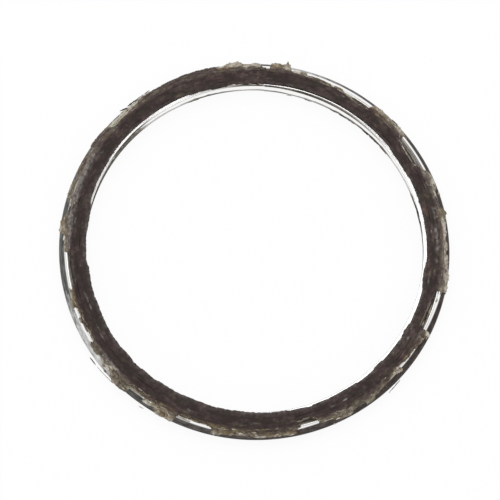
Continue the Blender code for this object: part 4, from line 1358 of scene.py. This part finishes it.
def lay_floor():
    """Lay a wide white floor under the ring. Most of what is seen of it glows, so it stays white."""
    mesh = bpy.data.meshes.new("floor")
    corners = [(x * FLOOR_HALF, y * FLOOR_HALF, 0.0) for x, y in ((-1, -1), (1, -1), (1, 1), (-1, 1))]
    mesh.from_pydata(corners, [], [(0, 1, 2, 3)])
    material, tree, shader = new_material("white_floor")
    shader.inputs["Roughness"].default_value = 0.9
    shader.inputs["Specular IOR Level"].default_value = 0.1
    coordinates = add_node(tree, "ShaderNodeTexCoord")
    mottle = add_noise(tree, coordinates.outputs["Object"], 6.0)
    colour = add_mix(tree, mottle, (0.95, 0.95, 0.95), (0.97, 0.97, 0.97))
    tree.links.new(colour, shader.inputs["Base Color"])
    glow = add_node(tree, "ShaderNodeEmission")
    mix = add_node(tree, "ShaderNodeMixShader")
    tree.links.new(add_math(tree, "MULTIPLY", add_seen(tree), FLOOR_GLOW), mix.inputs["Fac"])
    tree.links.new(shader.outputs["BSDF"], mix.inputs[1])
    tree.links.new(glow.outputs["Emission"], mix.inputs[2])
    tree.links.new(mix.outputs["Shader"], tree.nodes["Material Output"].inputs["Surface"])
    mesh.materials.append(material)
    floor = bpy.data.objects.new("floor", mesh)
    bpy.context.scene.collection.objects.link(floor)


def hang_lamp(settings):
    """Hang a soft square lamp over the ring, a little to its far side."""
    lamp = bpy.data.lights.new("soft_lamp", "AREA")
    lamp.size = LAMP_SIZE
    lamp.energy = settings.lamp_power
    item = bpy.data.objects.new("soft_lamp", lamp)
    item.visible_camera = False
    item.location = LAMP_PLACE
    item.rotation_euler = Vector(item.location).to_track_quat("Z", "Y").to_euler()
    bpy.context.scene.collection.objects.link(item)


def light_world(settings):
    """Light the ring evenly, and show white to the camera and in reflections."""
    world = bpy.data.worlds.new("white_room")
    bpy.context.scene.world = world
    world.use_nodes = True
    tree = world.node_tree
    background = tree.nodes["Background"]
    extra = add_math(tree, "MULTIPLY", add_seen(tree), 1.0 - settings.ambient)
    tree.links.new(add_math(tree, "ADD", extra, settings.ambient), background.inputs["Strength"])
    background.inputs["Color"].default_value = (1.0, 1.0, 1.0, 1.0)


def aim_camera(settings):
    """Put the camera at the photograph's height, rolled and aimed as it was."""
    lift = settings.elevation
    back = Vector((0.0, -math.cos(lift), math.sin(lift)))
    level_up = Vector((0.0, math.sin(lift), math.cos(lift)))
    right = math.cos(settings.roll) * Vector((1.0, 0.0, 0.0)) + math.sin(settings.roll) * level_up
    up = -math.sin(settings.roll) * Vector((1.0, 0.0, 0.0)) + math.cos(settings.roll) * level_up
    target = Vector((0.0, 0.0, MIDDLE)) - settings.aim_left * right + settings.aim_up * up
    camera = bpy.data.cameras.new("camera")
    camera.lens = settings.lens
    camera.clip_start, camera.clip_end = CLIP_RANGE
    item = bpy.data.objects.new("camera", camera)
    axes = Matrix((right, up, back)).transposed().to_4x4()
    item.matrix_world = Matrix.Translation(target + settings.distance * back) @ axes
    bpy.context.scene.collection.objects.link(item)
    bpy.context.scene.camera = item


class RING_PT_sidebar(bpy.types.Panel):
    """Lists the ring's pieces, sizes and colours"""

    bl_label = "Sealing Ring"
    bl_idname = "RING_PT_sidebar"
    bl_space_type = "VIEW_3D"
    bl_region_type = "UI"
    bl_category = "Ring"

    def draw(self, context):
        for operator in OPERATORS:
            self.layout.operator(operator.bl_idname)
        for group in (context.scene.ring_sizes, context.scene.ring_colours, context.scene.ring_stage):
            box = self.layout.box()
            for name in group.__annotations__:
                box.prop(group, name)


OPERATORS = (
    RING_OT_wind_steel,
    RING_OT_press_filler,
    RING_OT_hang_skirts,
    RING_OT_lay_flakes,
    RING_OT_set_stage,
)
GROUPS = (RingSizes, RingColours, StageSettings)


def register():
    """Register the classes and hang the settings on the scene."""
    for item in (*GROUPS, *OPERATORS, RING_PT_sidebar):
        bpy.utils.register_class(item)
    bpy.types.Scene.ring_sizes = PointerProperty(type=RingSizes)
    bpy.types.Scene.ring_colours = PointerProperty(type=RingColours)
    bpy.types.Scene.ring_stage = PointerProperty(type=StageSettings)


def unregister():
    """Take the settings and the classes away again."""
    del bpy.types.Scene.ring_sizes
    del bpy.types.Scene.ring_colours
    del bpy.types.Scene.ring_stage
    for item in (RING_PT_sidebar, *reversed(OPERATORS), *reversed(GROUPS)):
        bpy.utils.unregister_class(item)


def main():
    register()
    bpy.ops.ring.wind_steel()
    bpy.ops.ring.press_filler()
    bpy.ops.ring.hang_skirts()
    bpy.ops.ring.lay_flakes()
    bpy.ops.ring.set_stage()
    bpy.context.view_layer.update()


if __name__ == "__main__":
    main()
